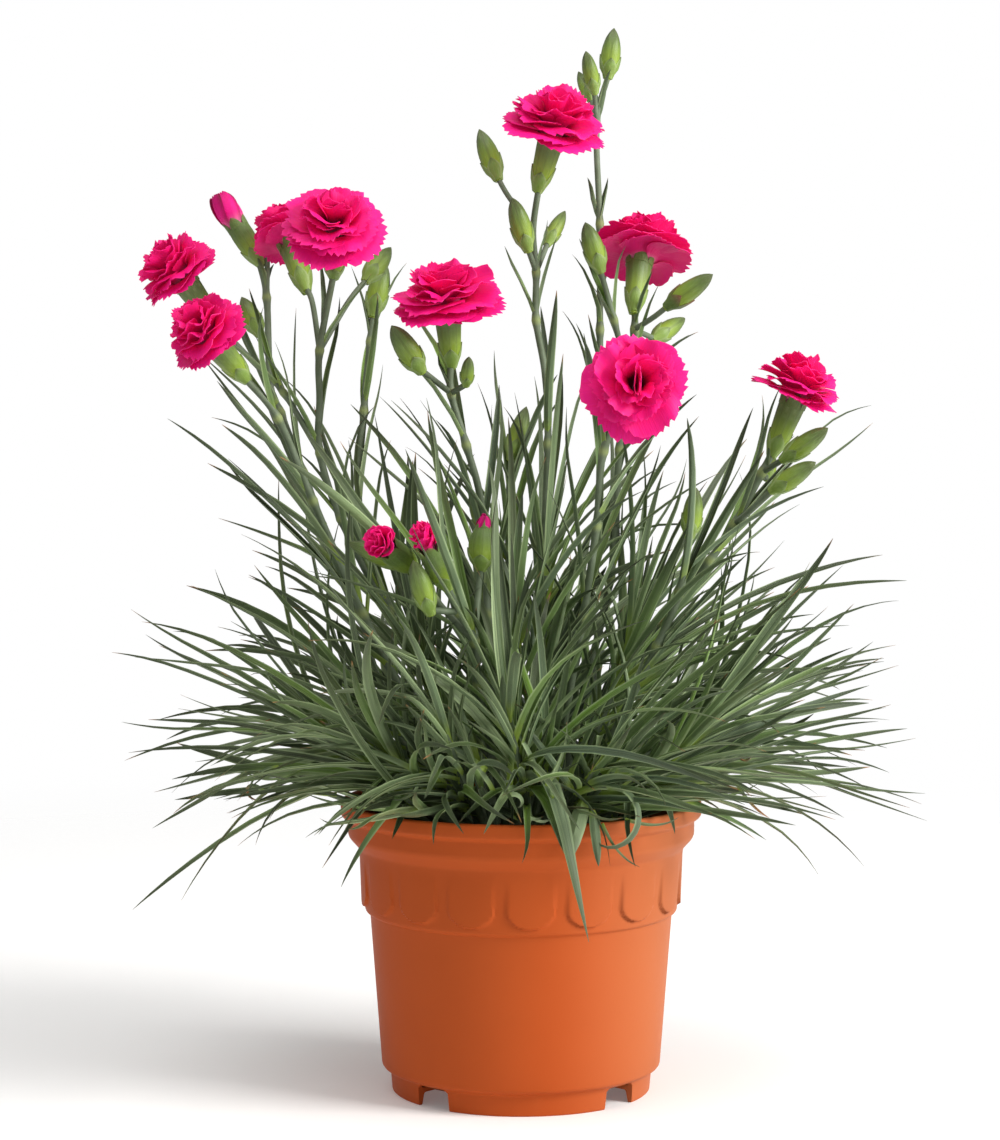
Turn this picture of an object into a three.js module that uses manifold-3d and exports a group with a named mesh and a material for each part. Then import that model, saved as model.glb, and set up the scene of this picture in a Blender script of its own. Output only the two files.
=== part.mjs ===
// A pink-flowered dianthus in its round plastic pot.
// Millimetres, +Z up. The origin is the middle of the flat pad under the pot, on the ground.

import * as THREE from 'three';
import { mergeVertices } from 'three/addons/utils/BufferGeometryUtils.js';
import Module from 'manifold-3d';

const wasm = await Module();
wasm.setup();

// ---------------------------------------------------------------- driving dimensions

const pot = {
  height: 97,
  lipRadius: 60,
  lipFoot: 91,
  bandRadius: 57.6,
  neckRadius: 54,
  neckHeight: 81.5,
  stepHeight: 60.5,
  stepRadius: 51.9,
  bodyRadius: 50.3,
  bodyFootRadius: 46.4,
  bodyFootHeight: 8.4,
  footRadius: 43,
  wall: 1.5,
  floorHeight: 4,
  floorThickness: 1.6,
  padRadius: 13,
  notchWidth: 13,
  notchHeight: 7.2,
  turn: (3 * Math.PI) / 180,
  facets: 34,
};

const panel = { count: 17, width: 15.6, top: 79, bottom: 62.4, proud: 1.1, sink: 0.9 };
const drain = { count: 6, radius: 3, ring: 29 };

const soil = { surface: 88, gap: 0.3, facets: 20 };
const plantingDepth = 11;
const holeGap = 0.35;
const taproot = { headRadius: 3.7, headHeight: 90.5, neckRadius: 2.9, neckHeight: 84, tipHeight: 46 };

const stemRadius = 1.25;
const shootRadius = 1.7;
const jointSwelling = 1.4;
const calyx = { length: 16, baseRadius: 3.1, mouthRadius: 4.4, socketDepth: 6.5 };
const bladeWidth = 4.2;
const bladeDepth = 1.1;

// ---------------------------------------------------------------- the plant's layout

// Flower stems. A route runs from just above the soil to the tip; joints lists the route points
// with a swelling and a pair of leaves. A branch starts at a joint of its stem, or of an earlier
// branch. A route ends in a bud, whose tip is given, or in a calyx that faces along its bloom.
const flowerStems = [
  {
    foot: [-15, 11],
    route: [[-30, 12, 118], [-55, 13, 158], [-73, 17, 205], [-81, 23, 225], [-85, 30, 235], [-87, 43, 264]],
    joints: [0, 1, 2, 3, 5],
    end: { bloom: 'closed', base: [-90, 48, 277], faces: [-16, 4, 25], radius: 4 },
    branches: [
      { at: 5, route: [[-87, 49, 282]], end: { bud: [-82, 54, 296], radius: 3.4 } },
    ],
  },
  {
    foot: [-17, -9],
    route: [[-30, -10, 116], [-52, -12, 160], [-68, -15, 197], [-79, -20, 224]],
    joints: [0, 1, 2, 3],
    end: { bloom: 'open', base: [-90, -24, 238], faces: [-11, -12, 14], radius: 14.5 },
    branches: [],
  },
  {
    foot: [-9, 2],
    route: [[-22, 3, 118], [-44, 5, 158], [-60, 7, 190], [-67, 8, 212], [-67, 8, 230], [-67, 9, 246]],
    joints: [0, 1, 2, 3, 5],
    end: { bloom: 'open', base: [-62, 7, 272], faces: [1, -15, 14], radius: 17.5 },
    branches: [
      {
        at: 3,
        route: [[-79, 8, 232], [-88, 10, 241]],
        joints: [0],
        end: { bloom: 'open', base: [-103, 17, 256], faces: [-11, -7, 16], radius: 14.5 },
      },
      {
        at: 3,
        of: 0,
        joint: 0,
        route: [[-84, 14, 243], [-88, 19, 252]],
        end: { bud: [-94, 23, 264], radius: 3.3 },
      },
      {
        at: 5,
        route: [[-70, 20, 262]],
        joints: [],
        end: { bloom: 'open', base: [-73, 26, 268], faces: [-5, 9, 14], radius: 13.5 },
      },
      { at: 5, route: [[-58, 19, 262], [-52, 27, 270]], end: { bud: [-44, 34, 281], radius: 3.4 } },
    ],
  },
  {
    foot: [-9, 20],
    route: [[-22, 22, 118], [-44, 27, 158], [-55, 37, 190], [-54, 48, 225], [-52, 54, 249]],
    joints: [0, 1, 2, 3, 4],
    end: { base: [-51, 56, 259], bud: [-47, 60, 277], radius: 3.8 },
    branches: [],
  },
  {
    foot: [-5, -9],
    route: [[-8, -11, 118], [-11, -14, 160], [-13, -14, 195], [-18, -12, 215], [-23, -10, 232]],
    joints: [0, 1, 3, 4],
    end: { bloom: 'open', base: [-23, -10, 243], faces: [-1, -6, 15], radius: 19.5 },
    branches: [
      { at: 4, route: [[-28, -14, 236], [-33, -17, 240]], end: { bud: [-42, -23, 254], radius: 3.9 } },
      { at: 4, route: [[-18, -17, 235]], end: { bud: [-17, -21, 244], radius: 2.2 } },
    ],
  },
  {
    foot: [2, 6],
    route: [[4, 8, 120], [7, 9, 165], [9, 10, 215], [8, 10, 238], [5, 10, 256], [5, 10, 272], [4, 8, 286]],
    joints: [0, 1, 2, 4, 5],
    end: { bloom: 'open', base: [6, 5, 301], faces: [4, -6, 15], radius: 18.5 },
    branches: [
      { at: 5, route: [[2, 3, 280]], end: { bud: [-3, -2, 296], radius: 3.5 } },
      { at: 5, route: [[9, 19, 282]], end: { bud: [15, 27, 293], radius: 2.5 } },
      { at: 6, route: [[-4, 15, 297], [-8, 18, 304]], end: { bud: [-14, 22, 320], radius: 3.5 } },
    ],
  },
  {
    foot: [8, 21],
    route: [[14, 24, 120], [25, 27, 170], [27, 30, 216], [27, 34, 253], [27, 38, 289], [26, 42, 323]],
    joints: [0, 1, 2, 3, 4, 5],
    end: { base: [30, 45, 340], bud: [32, 46, 356], radius: 3.4 },
    branches: [
      { at: 5, route: [[25, 37, 334]], end: { bud: [22, 33, 347], radius: 2.7 } },
      { at: 5, route: [[24, 49, 332]], end: { bud: [20, 54, 342], radius: 2.2 } },
    ],
  },
  {
    foot: [11, 7],
    route: [[18, 9, 120], [30, 12, 170], [33, 14, 213], [36, 14, 236], [38, 16, 253]],
    joints: [0, 1, 2, 3, 4],
    end: { bloom: 'open', base: [38, 16, 261], faces: [2, 8, 15], radius: 17.5 },
    branches: [
      { at: 4, route: [[44, 8, 257], [49, 5, 261]], end: { bud: [63, -1, 271], radius: 3.4 } },
      { at: 3, route: [[31, 9, 256], [26, 3, 273]], joints: [0], end: { bud: [21, -1, 288], radius: 3.5 } },
      { at: 4, route: [[45, 25, 250]], end: { bud: [56, 35, 257], radius: 3.1 } },
    ],
  },
  {
    foot: [10, -9],
    route: [[13, -14, 118], [20, -24, 160], [24, -32, 190], [26, -38, 214]],
    joints: [0, 1, 2, 3],
    end: { bloom: 'open', base: [34, -39, 231], faces: [1, -20, 4], radius: 17.5 },
    branches: [],
  },
  {
    foot: [20, -1],
    route: [[32, -3, 124], [47, -6, 156], [62, -8, 177], [70, -8, 189], [79, -8, 206]],
    joints: [0, 1, 2, 3, 4],
    end: { bloom: 'open', base: [83, -8, 214], faces: [7, -2, 18], radius: 15.5 },
    branches: [
      { at: 4, route: [[86, -15, 211]], end: { bud: [99, -23, 221], radius: 3.3 } },
      { at: 3, route: [[74, -13, 193], [82, -18, 201]], end: { bud: [95, -24, 210], radius: 3.3 } },
      { at: 4, route: [[81, -1, 204]], end: { bud: [84, 5, 211], radius: 2.3 } },
    ],
  },
  {
    foot: [19, -13],
    route: [[29, -16, 118], [44, -22, 150], [51, -26, 168]],
    joints: [0, 1, 2],
    end: { base: [54, -30, 187], bud: [56, -32, 202], radius: 3.3 },
    branches: [],
  },
  {
    foot: [-5, -21],
    route: [[-9, -32, 114], [-14, -44, 140], [-15, -50, 154], [-20, -54, 164]],
    joints: [0, 1, 2, 3],
    end: { bloom: 'half', base: [-24, -57, 173], faces: [-6, -8, 14], radius: 4.6 },
    branches: [
      {
        at: 2,
        route: [[-28, -49, 168]],
        joints: [0],
        end: { bloom: 'half', base: [-35, -49, 178], faces: [-11, -16, 10], radius: 6 },
      },
      { at: 2, of: 0, joint: 0, route: [[-38, -43, 178]], end: { bud: [-56, -39, 185], radius: 3 } },
      {
        at: 2,
        route: [[-14, -42, 168]],
        end: { bloom: 'tip', base: [-13, -41, 178], faces: [1, -1, 16], radius: 2.7 },
      },
      { at: 3, route: [[-29, -62, 165]], end: { bud: [-34, -67, 181], radius: 3.4 } },
    ],
  },
  {
    foot: [-2, 14],
    route: [[-3, 18, 120], [-4, 23, 170], [-4, 26, 195]],
    joints: [0, 1, 2],
    end: { base: [-3, 28, 210], bud: [2, 32, 227], radius: 3.4 },
    branches: [
      { at: 1, route: [[-12, 22, 184]], end: { bud: [-17, 22, 199], radius: 2.7 } },
    ],
  },
];

// Leafy shoots stand in three rings: the outer ones lean over the pot's lip, the inner ones rise.
const shootRings = [
  { count: 8, footRadius: 26, reach: 62, height: 126, pairs: 5, turn: 8 },
  { count: 6, footRadius: 17, reach: 40, height: 150, pairs: 4, turn: 28 },
  { count: 3, footRadius: 8, reach: 14, height: 168, pairs: 4, turn: 70 },
];

// The leaves that hang over the front of the lip and those that draw the plant's outline, each
// given by its tip and the place it comes from.
const outlineLeaves = [
  { tip: [18, -84, 64], from: [2, -35, 108], arch: 43, width: 7 },
  { tip: [14, -70, 88], from: [20, -38, 108], arch: 14, width: 5.2 },
  { tip: [23, -70, 87], from: [17, -35, 105], arch: 16, width: 3.6 },
  { tip: [32, -67, 85], from: [22, -36, 104], arch: 15, width: 3.4 },
  { tip: [49, -54, 94], from: [34, -34, 106], arch: 9, width: 3.8 },
  { tip: [-3, -67, 91], from: [-8, -38, 104], arch: 11, width: 4 },
  { tip: [-18, -66, 95], from: [-8, -38, 104], arch: 9, width: 3.8 },
  { tip: [-41, -56, 92], from: [-28, -36, 106], arch: 10 },
  { tip: [-60, -59, 77], from: [-26, -30, 107], arch: 27, width: 4.6 },
  { tip: [-134, -10, 149], from: [-63, -8, 122], arch: 4 },
  { tip: [-128, 25, 145], from: [-74, 15, 123], arch: 5 },
  { tip: [-112, -30, 159], from: [-63, -15, 132], arch: 5 },
  { tip: [-106, 10, 170], from: [-64, 5, 133], arch: 3 },
  { tip: [-88, -25, 174], from: [-56, -15, 138], arch: 3 },
  { tip: [-86, 30, 175], from: [-56, 15, 139], arch: 3 },
  { tip: [-121, -25, 126], from: [-60, -10, 121], arch: 3 },
  { tip: [-135, 20, 117], from: [-64, 10, 110], arch: 6 },
  { tip: [-123, 40, 102], from: [-61, 20, 113], arch: 6 },
  { tip: [-118, -25, 89], from: [-59, -15, 115], arch: 14 },
  { tip: [-110, -40, 70], from: [-56, -20, 114], arch: 22 },
  { tip: [-130, 15, 56], from: [-47, 10, 105], arch: 18 },
  { tip: [-60, -58, 90], from: [-39, -35, 111], arch: 12 },
  { tip: [-91, -10, 86], from: [-50, -8, 109], arch: 12 },
  { tip: [121, 10, 145], from: [57, 8, 124], arch: 4 },
  { tip: [112, -15, 139], from: [42, -10, 125], arch: 12 },
  { tip: [126, 30, 122], from: [40, 15, 108], arch: 8 },
  { tip: [107, -20, 117], from: [52, -10, 110], arch: 6 },
  { tip: [123, -5, 97], from: [46, -5, 112], arch: 16 },
  { tip: [112, -35, 82], from: [42, -20, 113], arch: 18 },
  { tip: [96, -55, 84], from: [32, -30, 109], arch: 14 },
  { tip: [108, 45, 102], from: [54, 20, 106], arch: 8 },
  { tip: [75, -50, 104], from: [38, -28, 109], arch: 8 },
  { tip: [107, 40, 148], from: [57, 15, 128], arch: 3 },
  { tip: [95, -15, 162], from: [56, -8, 131], arch: 3 },
  { tip: [87, -40, 169], from: [48, -20, 132], arch: 3 },
  { tip: [95, 20, 173], from: [57, 10, 136], arch: 3 },
  { tip: [97, 45, 174], from: [54, 22, 135], arch: 3 },
  { tip: [92, 10, 196], from: [56, 5, 146], arch: 5 },
  { tip: [72, -30, 181], from: [45, -15, 135], arch: 3 },
  { tip: [81, -20, 195], from: [42, -10, 148], arch: 5 },
  { tip: [71, -5, 196], from: [36, -5, 134], arch: 4 },
  { tip: [60, 25, 207], from: [30, 15, 156], arch: 4 },
  { tip: [47, -35, 215], from: [16, -20, 152], arch: 4 },
  { tip: [-105, -5, 243], from: [-63, -10, 191], arch: 4 },
  { tip: [-118, 20, 224], from: [-64, 10, 173], arch: 4 },
  { tip: [-95, -30, 224], from: [-56, -18, 175], arch: 4 },
  { tip: [-98, 15, 207], from: [-57, 10, 163], arch: 4 },
  { tip: [-63, -20, 220], from: [-46, -15, 165], arch: 4 },
  { tip: [-72, 10, 214], from: [-50, 8, 163], arch: 4 },
  { tip: [-47, 20, 231], from: [-14, 12, 176], arch: 5 },
  { tip: [-45, -10, 217], from: [-40, -8, 164], arch: 4 },
  { tip: [-38, 30, 210], from: [-27, 18, 162], arch: 4 },
  { tip: [-25, -20, 225], from: [-12, -14, 178], arch: 4 },
  { tip: [-14, 10, 226], from: [-7, 8, 176], arch: 4 },
  { tip: [-7, -5, 235], from: [-4, -5, 184], arch: 4 },
  { tip: [13, -15, 245], from: [8, -12, 164], arch: 4 },
  { tip: [16, 25, 239], from: [13, 15, 156], arch: 4 },
  { tip: [22, 5, 244], from: [13, 5, 176], arch: 4 },
  { tip: [-62, -62, 141], from: [-13, -35, 126], arch: 6 },
  { tip: [-53, -64, 132], from: [12, -30, 116], arch: 10 },
  { tip: [-31, -50, 161], from: [-26, -25, 113], arch: 4 },
  { tip: [2, -42, 179], from: [-7, -25, 110], arch: 4 },
  { tip: [-2, -66, 138], from: [17, -30, 101], arch: 8 },
  { tip: [28, -46, 167], from: [9, -25, 107], arch: 4 },
];

// ---------------------------------------------------------------- small helpers

const up = new THREE.Vector3(0, 0, 1);

function vec(list) {
  return new THREE.Vector3(list[0], list[1], list[2]);
}

function toward(start, direction, distance) {
  return start.clone().addScaledVector(direction, distance);
}

// Even random numbers from 0 to 1, the same for the same seed.
function dice(seed) {
  let state = (seed * 7919 + 17) % 4294967296;
  const roll = () => {
    state = (state * 1664525 + 1013904223) % 4294967296;
    return state / 4294967296;
  };
  roll();
  roll();
  return roll;
}

function spread(roll, size) {
  return (roll() * 2 - 1) * size;
}

// ---------------------------------------------------------------- solids

function toSolid(geometry) {
  const bare = geometry.clone();
  bare.deleteAttribute('normal');
  bare.deleteAttribute('uv');
  const merged = mergeVertices(bare, 1e-5);
  const mesh = new wasm.Mesh({
    numProp: 3,
    vertProperties: new Float32Array(merged.attributes.position.array),
    triVerts: new Uint32Array(merged.index.array),
  });
  return new wasm.Manifold(mesh);
}

function fuse(solids) {
  return solids.reduce((whole, solid) => whole.add(solid));
}

function toMesh(name, solid, look) {
  const { vertProperties, triVerts } = solid.getMesh();
  const geometry = new THREE.BufferGeometry();
  geometry.setAttribute('position', new THREE.BufferAttribute(vertProperties, 3));
  geometry.setIndex(new THREE.BufferAttribute(triVerts, 1));
  geometry.computeVertexNormals();
  const mesh = new THREE.Mesh(geometry, new THREE.MeshStandardMaterial(look));
  mesh.name = name;
  return mesh;
}

// Lays a unit cylinder or cone of the given sides on a row of stations, from its foot to its tip.
// A station has a point, a direction across, a direction out, and a half width along each.
function lay(stations, sides) {
  const last = stations.length - 1;
  const footRadius = stations[0].wide > 0 ? 1 : 0;
  const tipRadius = stations[last].wide > 0 ? 1 : 0;
  const geometry = new THREE.CylinderGeometry(tipRadius, footRadius, 1, sides, last);
  const position = geometry.attributes.position;
  const rings = (sides + 1) * (last + 1);
  for (let i = 0; i < position.count; i += 1) {
    const station = stations[Math.round((position.getY(i) + 0.5) * last)];
    const capMiddle = i >= rings && Math.hypot(position.getX(i), position.getZ(i)) < 0.5;
    const angle = ((i < rings ? i : i - rings) % (sides + 1)) * ((Math.PI * 2) / sides);
    const place = station.point.clone();
    if (!capMiddle) {
      const turn = i < rings ? angle : Math.atan2(position.getX(i), position.getZ(i));
      place.addScaledVector(station.across, Math.sin(turn) * station.wide);
      place.addScaledVector(station.out, Math.cos(turn) * station.deep);
    }
    position.setXYZ(i, place.x, place.y, place.z);
  }
  return toSolid(geometry);
}

// A round rod through the points, with a radius at each; a last radius of 0 gives a point.
function rod(points, radii, sides) {
  const whole = points[points.length - 1].clone().sub(points[0]).normalize();
  const reference = Math.abs(whole.y) < 0.8 ? new THREE.Vector3(0, 1, 0) : new THREE.Vector3(1, 0, 0);
  const stations = points.map((point, i) => {
    const ahead = points[Math.min(i + 1, points.length - 1)];
    const behind = points[Math.max(i - 1, 0)];
    const along = ahead.clone().sub(behind).normalize();
    const across = reference.clone().addScaledVector(along, -reference.dot(along)).normalize();
    const out = across.clone().cross(along);
    return { point, across, out, wide: radii[i], deep: radii[i] };
  });
  return lay(stations, sides);
}

// ---------------------------------------------------------------- leaves

// Where a blade's rings stand, from root to tip, and how wide it is there: a short leaf has fewer.
const longBlade = { steps: [0, 0.24, 0.64, 1], widths: [0, 1, 0.84, 0] };
const shortBlade = { steps: [0, 0.4, 1], widths: [0, 1, 0] };
const shortLength = 42;

function bladeForm(leaf) {
  return leaf.root.distanceTo(leaf.tip) < shortLength ? shortBlade : longBlade;
}

// A leaf bends in one plane, from its root past a guide point to its tip.
function leafPoint(leaf, t) {
  const a = (1 - t) * (1 - t);
  const b = 2 * t * (1 - t);
  const c = t * t;
  return leaf.root.clone().multiplyScalar(a).addScaledVector(leaf.guide, b).addScaledVector(leaf.tip, c);
}

function leafAcross(leaf) {
  const toGuide = leaf.guide.clone().sub(leaf.root);
  const toTip = leaf.tip.clone().sub(leaf.root);
  return toGuide.cross(toTip).normalize();
}

// A blade of triangular section: flat inside, keeled outside, drawn out to a point.
function blade(leaf) {
  const across = leafAcross(leaf);
  const { steps, widths } = bladeForm(leaf);
  const points = steps.map((t) => leafPoint(leaf, t));
  const stations = points.map((point, i) => {
    const ahead = points[Math.min(i + 1, points.length - 1)];
    const behind = points[Math.max(i - 1, 0)];
    const along = ahead.clone().sub(behind).normalize();
    const out = across.clone().cross(along);
    const wide = (leaf.width / 2 / 0.866) * widths[i];
    return { point, across, out, wide, deep: widths[i] > 0 ? bladeDepth / 1.5 : 0 };
  });
  return lay(stations, 3);
}

// ---------------------------------------------------------------- room between the pieces

const sisterShare = 0.3;

// Everything placed so far, as straight lines with a radius, in boxes for each thing placed.
const placed = [];

function lineGap(a, b, c, d) {
  const u = b.clone().sub(a);
  const v = d.clone().sub(c);
  const w = a.clone().sub(c);
  const uu = u.dot(u);
  const vv = v.dot(v);
  const uv = u.dot(v);
  const uw = u.dot(w);
  const vw = v.dot(w);
  const base = uu * vv - uv * uv;
  let s = base > 1e-9 ? (uv * vw - vv * uw) / base : 0;
  s = Math.min(Math.max(s, 0), 1);
  let t = (uv * s + vw) / vv;
  if (t < 0) {
    t = 0;
    s = Math.min(Math.max(-uw / uu, 0), 1);
  } else if (t > 1) {
    t = 1;
    s = Math.min(Math.max((uv - uw) / uu, 0), 1);
  }
  return w.addScaledVector(u, s).addScaledVector(v, -t).length();
}

function boxed(owner, lines, radius, isLeaf = false) {
  const box = new THREE.Box3();
  lines.forEach((line) => box.expandByPoint(line[0]).expandByPoint(line[1]));
  box.expandByScalar(radius);
  return { owner, lines, radius, box, isLeaf };
}

function polyline(points) {
  return points.slice(1).map((point, i) => [points[i], point]);
}

// The least room between a new thing and all others, less both radii. Leaves of one stem need it
// too, but for the part next to the stem.
function room(thing) {
  let least = Infinity;
  const reach = thing.box.clone().expandByScalar(1);
  for (const other of placed) {
    const sisters = other.owner === thing.owner;
    if ((!sisters || (thing.isLeaf && other.isLeaf)) && reach.intersectsBox(other.box)) {
      for (const [a, b] of thing.lines) {
        const start = sisters ? a.clone().lerp(b, sisterShare) : a;
        for (const [c, d] of other.lines) {
          const otherStart = sisters ? c.clone().lerp(d, sisterShare) : c;
          least = Math.min(least, lineGap(start, b, otherStart, d) - thing.radius - other.radius);
        }
      }
    }
  }
  return least;
}

// A leaf stands for its two edges and its middle, each with the blade's half depth.
function leafLines(leaf) {
  const across = leafAcross(leaf);
  const { steps, widths } = bladeForm(leaf);
  const points = steps.map((t) => leafPoint(leaf, t));
  const edges = [-1, 0, 1].map((side) =>
    points.map((point, i) => toward(point, across, (side * leaf.width * widths[i]) / 2)),
  );
  return edges.flatMap(polyline);
}

function clearOfPot(lines) {
  for (const [a, b] of lines) {
    if (Math.hypot(b.x, b.y) > plantReach) {
      return false;
    }
    for (let t = 0; t <= 1; t += 0.2) {
      const x = a.x + (b.x - a.x) * t;
      const y = a.y + (b.y - a.y) * t;
      const z = a.z + (b.z - a.z) * t;
      const out = Math.hypot(x, y);
      const floor = out > pot.neckRadius - 4 ? pot.height + 1.3 : soil.surface + 3;
      if (z < 3 || (out < pot.lipRadius + 1.6 && z < floor)) {
        return false;
      }
    }
  }
  return true;
}

const leafHalfDepth = 0.6;
const plantReach = 136;
const leastRoom = 0.3;

// Takes the first of several drawn leaves that is clear of everything; gives null if none is.
function settle(owner, draw, tries) {
  for (let attempt = 0; attempt < tries; attempt += 1) {
    const leaf = draw(attempt);
    const lines = leafLines(leaf);
    if (clearOfPot(lines)) {
      const thing = boxed(owner, lines, leafHalfDepth, true);
      if (room(thing) > leastRoom) {
        placed.push(thing);
        return leaf;
      }
    }
  }
  return null;
}

// ---------------------------------------------------------------- stems

function footPoints(foot) {
  return [[foot[0], foot[1], soil.surface - plantingDepth], [foot[0], foot[1], soil.surface + 2]];
}

// Works out each stem's axis, its joints and its ends before anything is built.
function planStem(name, plan) {
  const stem = { name, foot: plan.foot, axes: [], joints: [], buds: [], calyces: [], leaves: [] };
  const runs = [{ at: -1, ...plan }, ...plan.branches];
  const ends = [];
  runs.forEach((run, index) => {
    let start = footPoints(plan.foot);
    if (index > 0) {
      const source = run.of === undefined ? plan : plan.branches[run.of];
      start = [source.route[run.of === undefined ? run.at : run.joint]];
    }
    const end = run.end.base ? [run.end.base] : [];
    const route = [...start, ...run.route, ...end];
    const points = route.map(vec);
    const joints = (run.joints ?? []).map((joint) => joint + start.length);
    const radii = points.map((point, i) => stemThickness(point, index, joints.includes(i)));
    stem.axes.push({ points, radii });
    joints.forEach((i) => {
      const along = points[i + 1].clone().sub(points[i - 1]).normalize();
      stem.joints.push({ point: points[i], along });
    });
    ends.push({ ...run.end, base: points[points.length - 1] });
  });
  ends.forEach((end) => {
    if (end.bud) {
      stem.buds.push({ base: end.base, tip: vec(end.bud), radius: end.radius });
    } else {
      stem.calyces.push({ ...end, along: vec(end.faces).normalize() });
    }
  });
  return stem;
}

function stemThickness(point, index, swollen) {
  const taper = 1.12 - (point.z - soil.surface) * 0.0012;
  const size = stemRadius * taper * (index > 0 ? 0.85 : 1);
  return swollen ? size * jointSwelling : size;
}

// Buds are spindles, fuller below the middle.
function budRings(bud) {
  const steps = [0, 0.25, 0.65, 1];
  const fullness = [0.5, 1, 0.86, 0];
  const points = steps.map((t) => bud.base.clone().lerp(bud.tip, t));
  return { points, radii: fullness.map((f) => f * bud.radius) };
}

function calyxRings(cup) {
  const steps = [-0.06, 0.12, 1];
  const radii = [stemRadius, calyx.baseRadius, calyx.mouthRadius];
  const scale = calyxScale(cup);
  return {
    points: steps.map((t) => toward(cup.base, cup.along, t * calyx.length * scale)),
    radii: radii.map((r) => r * scale),
  };
}

function calyxScale(cup) {
  return { open: 1, half: 0.86, closed: 0.86, tip: 0.75 }[cup.bloom];
}

// ---------------------------------------------------------------- blooms

// Petal layers of each kind of bloom, from the outer one in: height of the rim above the calyx
// mouth, its radius as a share of the bloom's, the height of the core above it, and the ruffle.
const layersOf = {
  open: [
    { rim: 4.4, size: 1, core: 4.4, ruffle: 1.2 },
    { rim: 9.6, size: 0.9, core: 6.6, ruffle: 1.4 },
    { rim: 14, size: 0.6, core: 8.6, ruffle: 1.4 },
  ],
  half: [
    { rim: 5, size: 1, core: 4.6, ruffle: 0.7 },
    { rim: 8.6, size: 0.72, core: 7, ruffle: 0.6 },
  ],
};
const furledHeight = { closed: 15, tip: 5.5 };
const petals = 5;
const petalReach = { open: [0.5, 1, 0.9, 1], half: [0.6, 1] };
const petalDepth = 0.8;

// A bloom is one surface round its axis: from a plug up to the first layer of petals, out to that
// layer's rim, over it and back to the core, and so on up. Each ring has as many steps as the rims,
// where the steps are slits, teeth and notches.
function bloomRings(cup) {
  const scale = calyxScale(cup);
  const neck = (calyx.mouthRadius - 1.25) * scale;
  const foot = { reach: neck * 0.62, height: -calyx.socketDepth * scale + 0.35 };
  if (!layersOf[cup.bloom]) {
    const rise = furledHeight[cup.bloom];
    const bulb = [[neck * 0.95, 0.05], [cup.radius * 0.8, 0.37], [cup.radius * 0.66, 0.73], [0, 1]];
    return [foot, ...bulb.map(([reach, share]) => ({ reach, height: rise * share }))];
  }
  const rings = [foot, { reach: neck, height: 2.2 }];
  layersOf[cup.bloom].forEach((layer, i) => {
    const rim = { reach: cup.radius * layer.size, height: layer.rim, ruffle: layer.ruffle, layer: i };
    if (i === 0) {
      rings.push({ ...rim, height: layer.rim - petalDepth });
    }
    rings.push(rim);
    rings.push({ reach: neck * 0.9, height: layer.core });
  });
  rings[rings.length - 1].reach = 0;
  return rings;
}

function bloomSolid(cup) {
  const rings = bloomRings(cup);
  const last = rings.length - 1;
  const reaches = petalReach[cup.bloom];
  const steps = reaches ? petals * reaches.length : 6;
  const geometry = new THREE.CylinderGeometry(0, 1, 1, steps, last);
  const position = geometry.attributes.position;
  for (let i = 0; i < position.count; i += 1) {
    const row = Math.round((position.getY(i) + 0.5) * last);
    const { reach, height, ruffle, layer = 0 } = rings[row];
    const onRing = Math.hypot(position.getX(i), position.getZ(i)) > 1e-6;
    const angle = Math.atan2(position.getZ(i), position.getX(i));
    const step = (Math.round((angle / Math.PI / 2) * steps) + steps) % steps;
    const share = ruffle ? reaches[step % reaches.length] : 1;
    const lift = share > 0.8 && ruffle ? spread(dice(step + layer * 40 + Math.round(cup.base.z)), ruffle) : 0;
    const sunk = ruffle ? (1 - share) * (height - rings[1].height) * 0.6 : 0;
    const turned = -(step / steps) * Math.PI * 2 - cup.base.x;
    const out = onRing ? reach * share : 0;
    position.setXYZ(i, out * Math.cos(turned), out * Math.sin(turned), height + lift - sunk);
  }
  const turn = new THREE.Quaternion().setFromUnitVectors(up, cup.along);
  const mouth = toward(cup.base, cup.along, calyx.length * calyxScale(cup));
  geometry.applyMatrix4(new THREE.Matrix4().compose(mouth, turn, new THREE.Vector3(1, 1, 1)));
  return toSolid(geometry);
}

// ---------------------------------------------------------------- leafy shoots

function planShoots() {
  const shoots = [];
  shootRings.forEach((ring, level) => {
    for (let i = 0; i < ring.count; i += 1) {
      for (let attempt = 0; attempt < 200; attempt += 1) {
        const roll = dice(level * 5000 + i * 400 + attempt);
        const turn = ring.turn + (i * 360) / ring.count + spread(roll, 3 + attempt * 0.15);
        const angle = (turn * Math.PI) / 180;
        const foot = ring.footRadius + spread(roll, 2 + attempt * 0.03);
        const reach = ring.reach + spread(roll, 5);
        const height = ring.height + spread(roll, 8);
        const lean = angle + spread(roll, 0.2);
        const at = (share, level2) => {
          const out = foot + (reach - foot) * share;
          const way = angle + (lean - angle) * share;
          return [out * Math.cos(way), out * Math.sin(way), soil.surface + (height - soil.surface) * level2];
        };
        const feet = [foot * Math.cos(angle), foot * Math.sin(angle)];
        const route = [...footPoints(feet), at(0.35, 0.38), at(0.72, 0.68), at(1, 1)];
        const points = route.map(vec);
        const radii = points.map((point, k) => shootRadius * (1 - (0.55 * k) / (points.length - 1)));
        const name = `shoot_${String(shoots.length + 1).padStart(2, '0')}`;
        const thing = boxed(name, polyline(points), shootRadius + 0.6);
        if (room(thing) > leastRoom) {
          placed.push(thing);
          shoots.push({ name, foot: feet, pairs: ring.pairs, axes: [{ points, radii }], leaves: [] });
          break;
        }
      }
    }
  });
  return shoots;
}

function axisPoint(points, share) {
  const place = share * (points.length - 1);
  const i = Math.min(Math.floor(place), points.length - 2);
  const point = points[i].clone().lerp(points[i + 1], place - i);
  const along = points[i + 1].clone().sub(points[i]).normalize();
  return { point, along };
}

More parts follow.
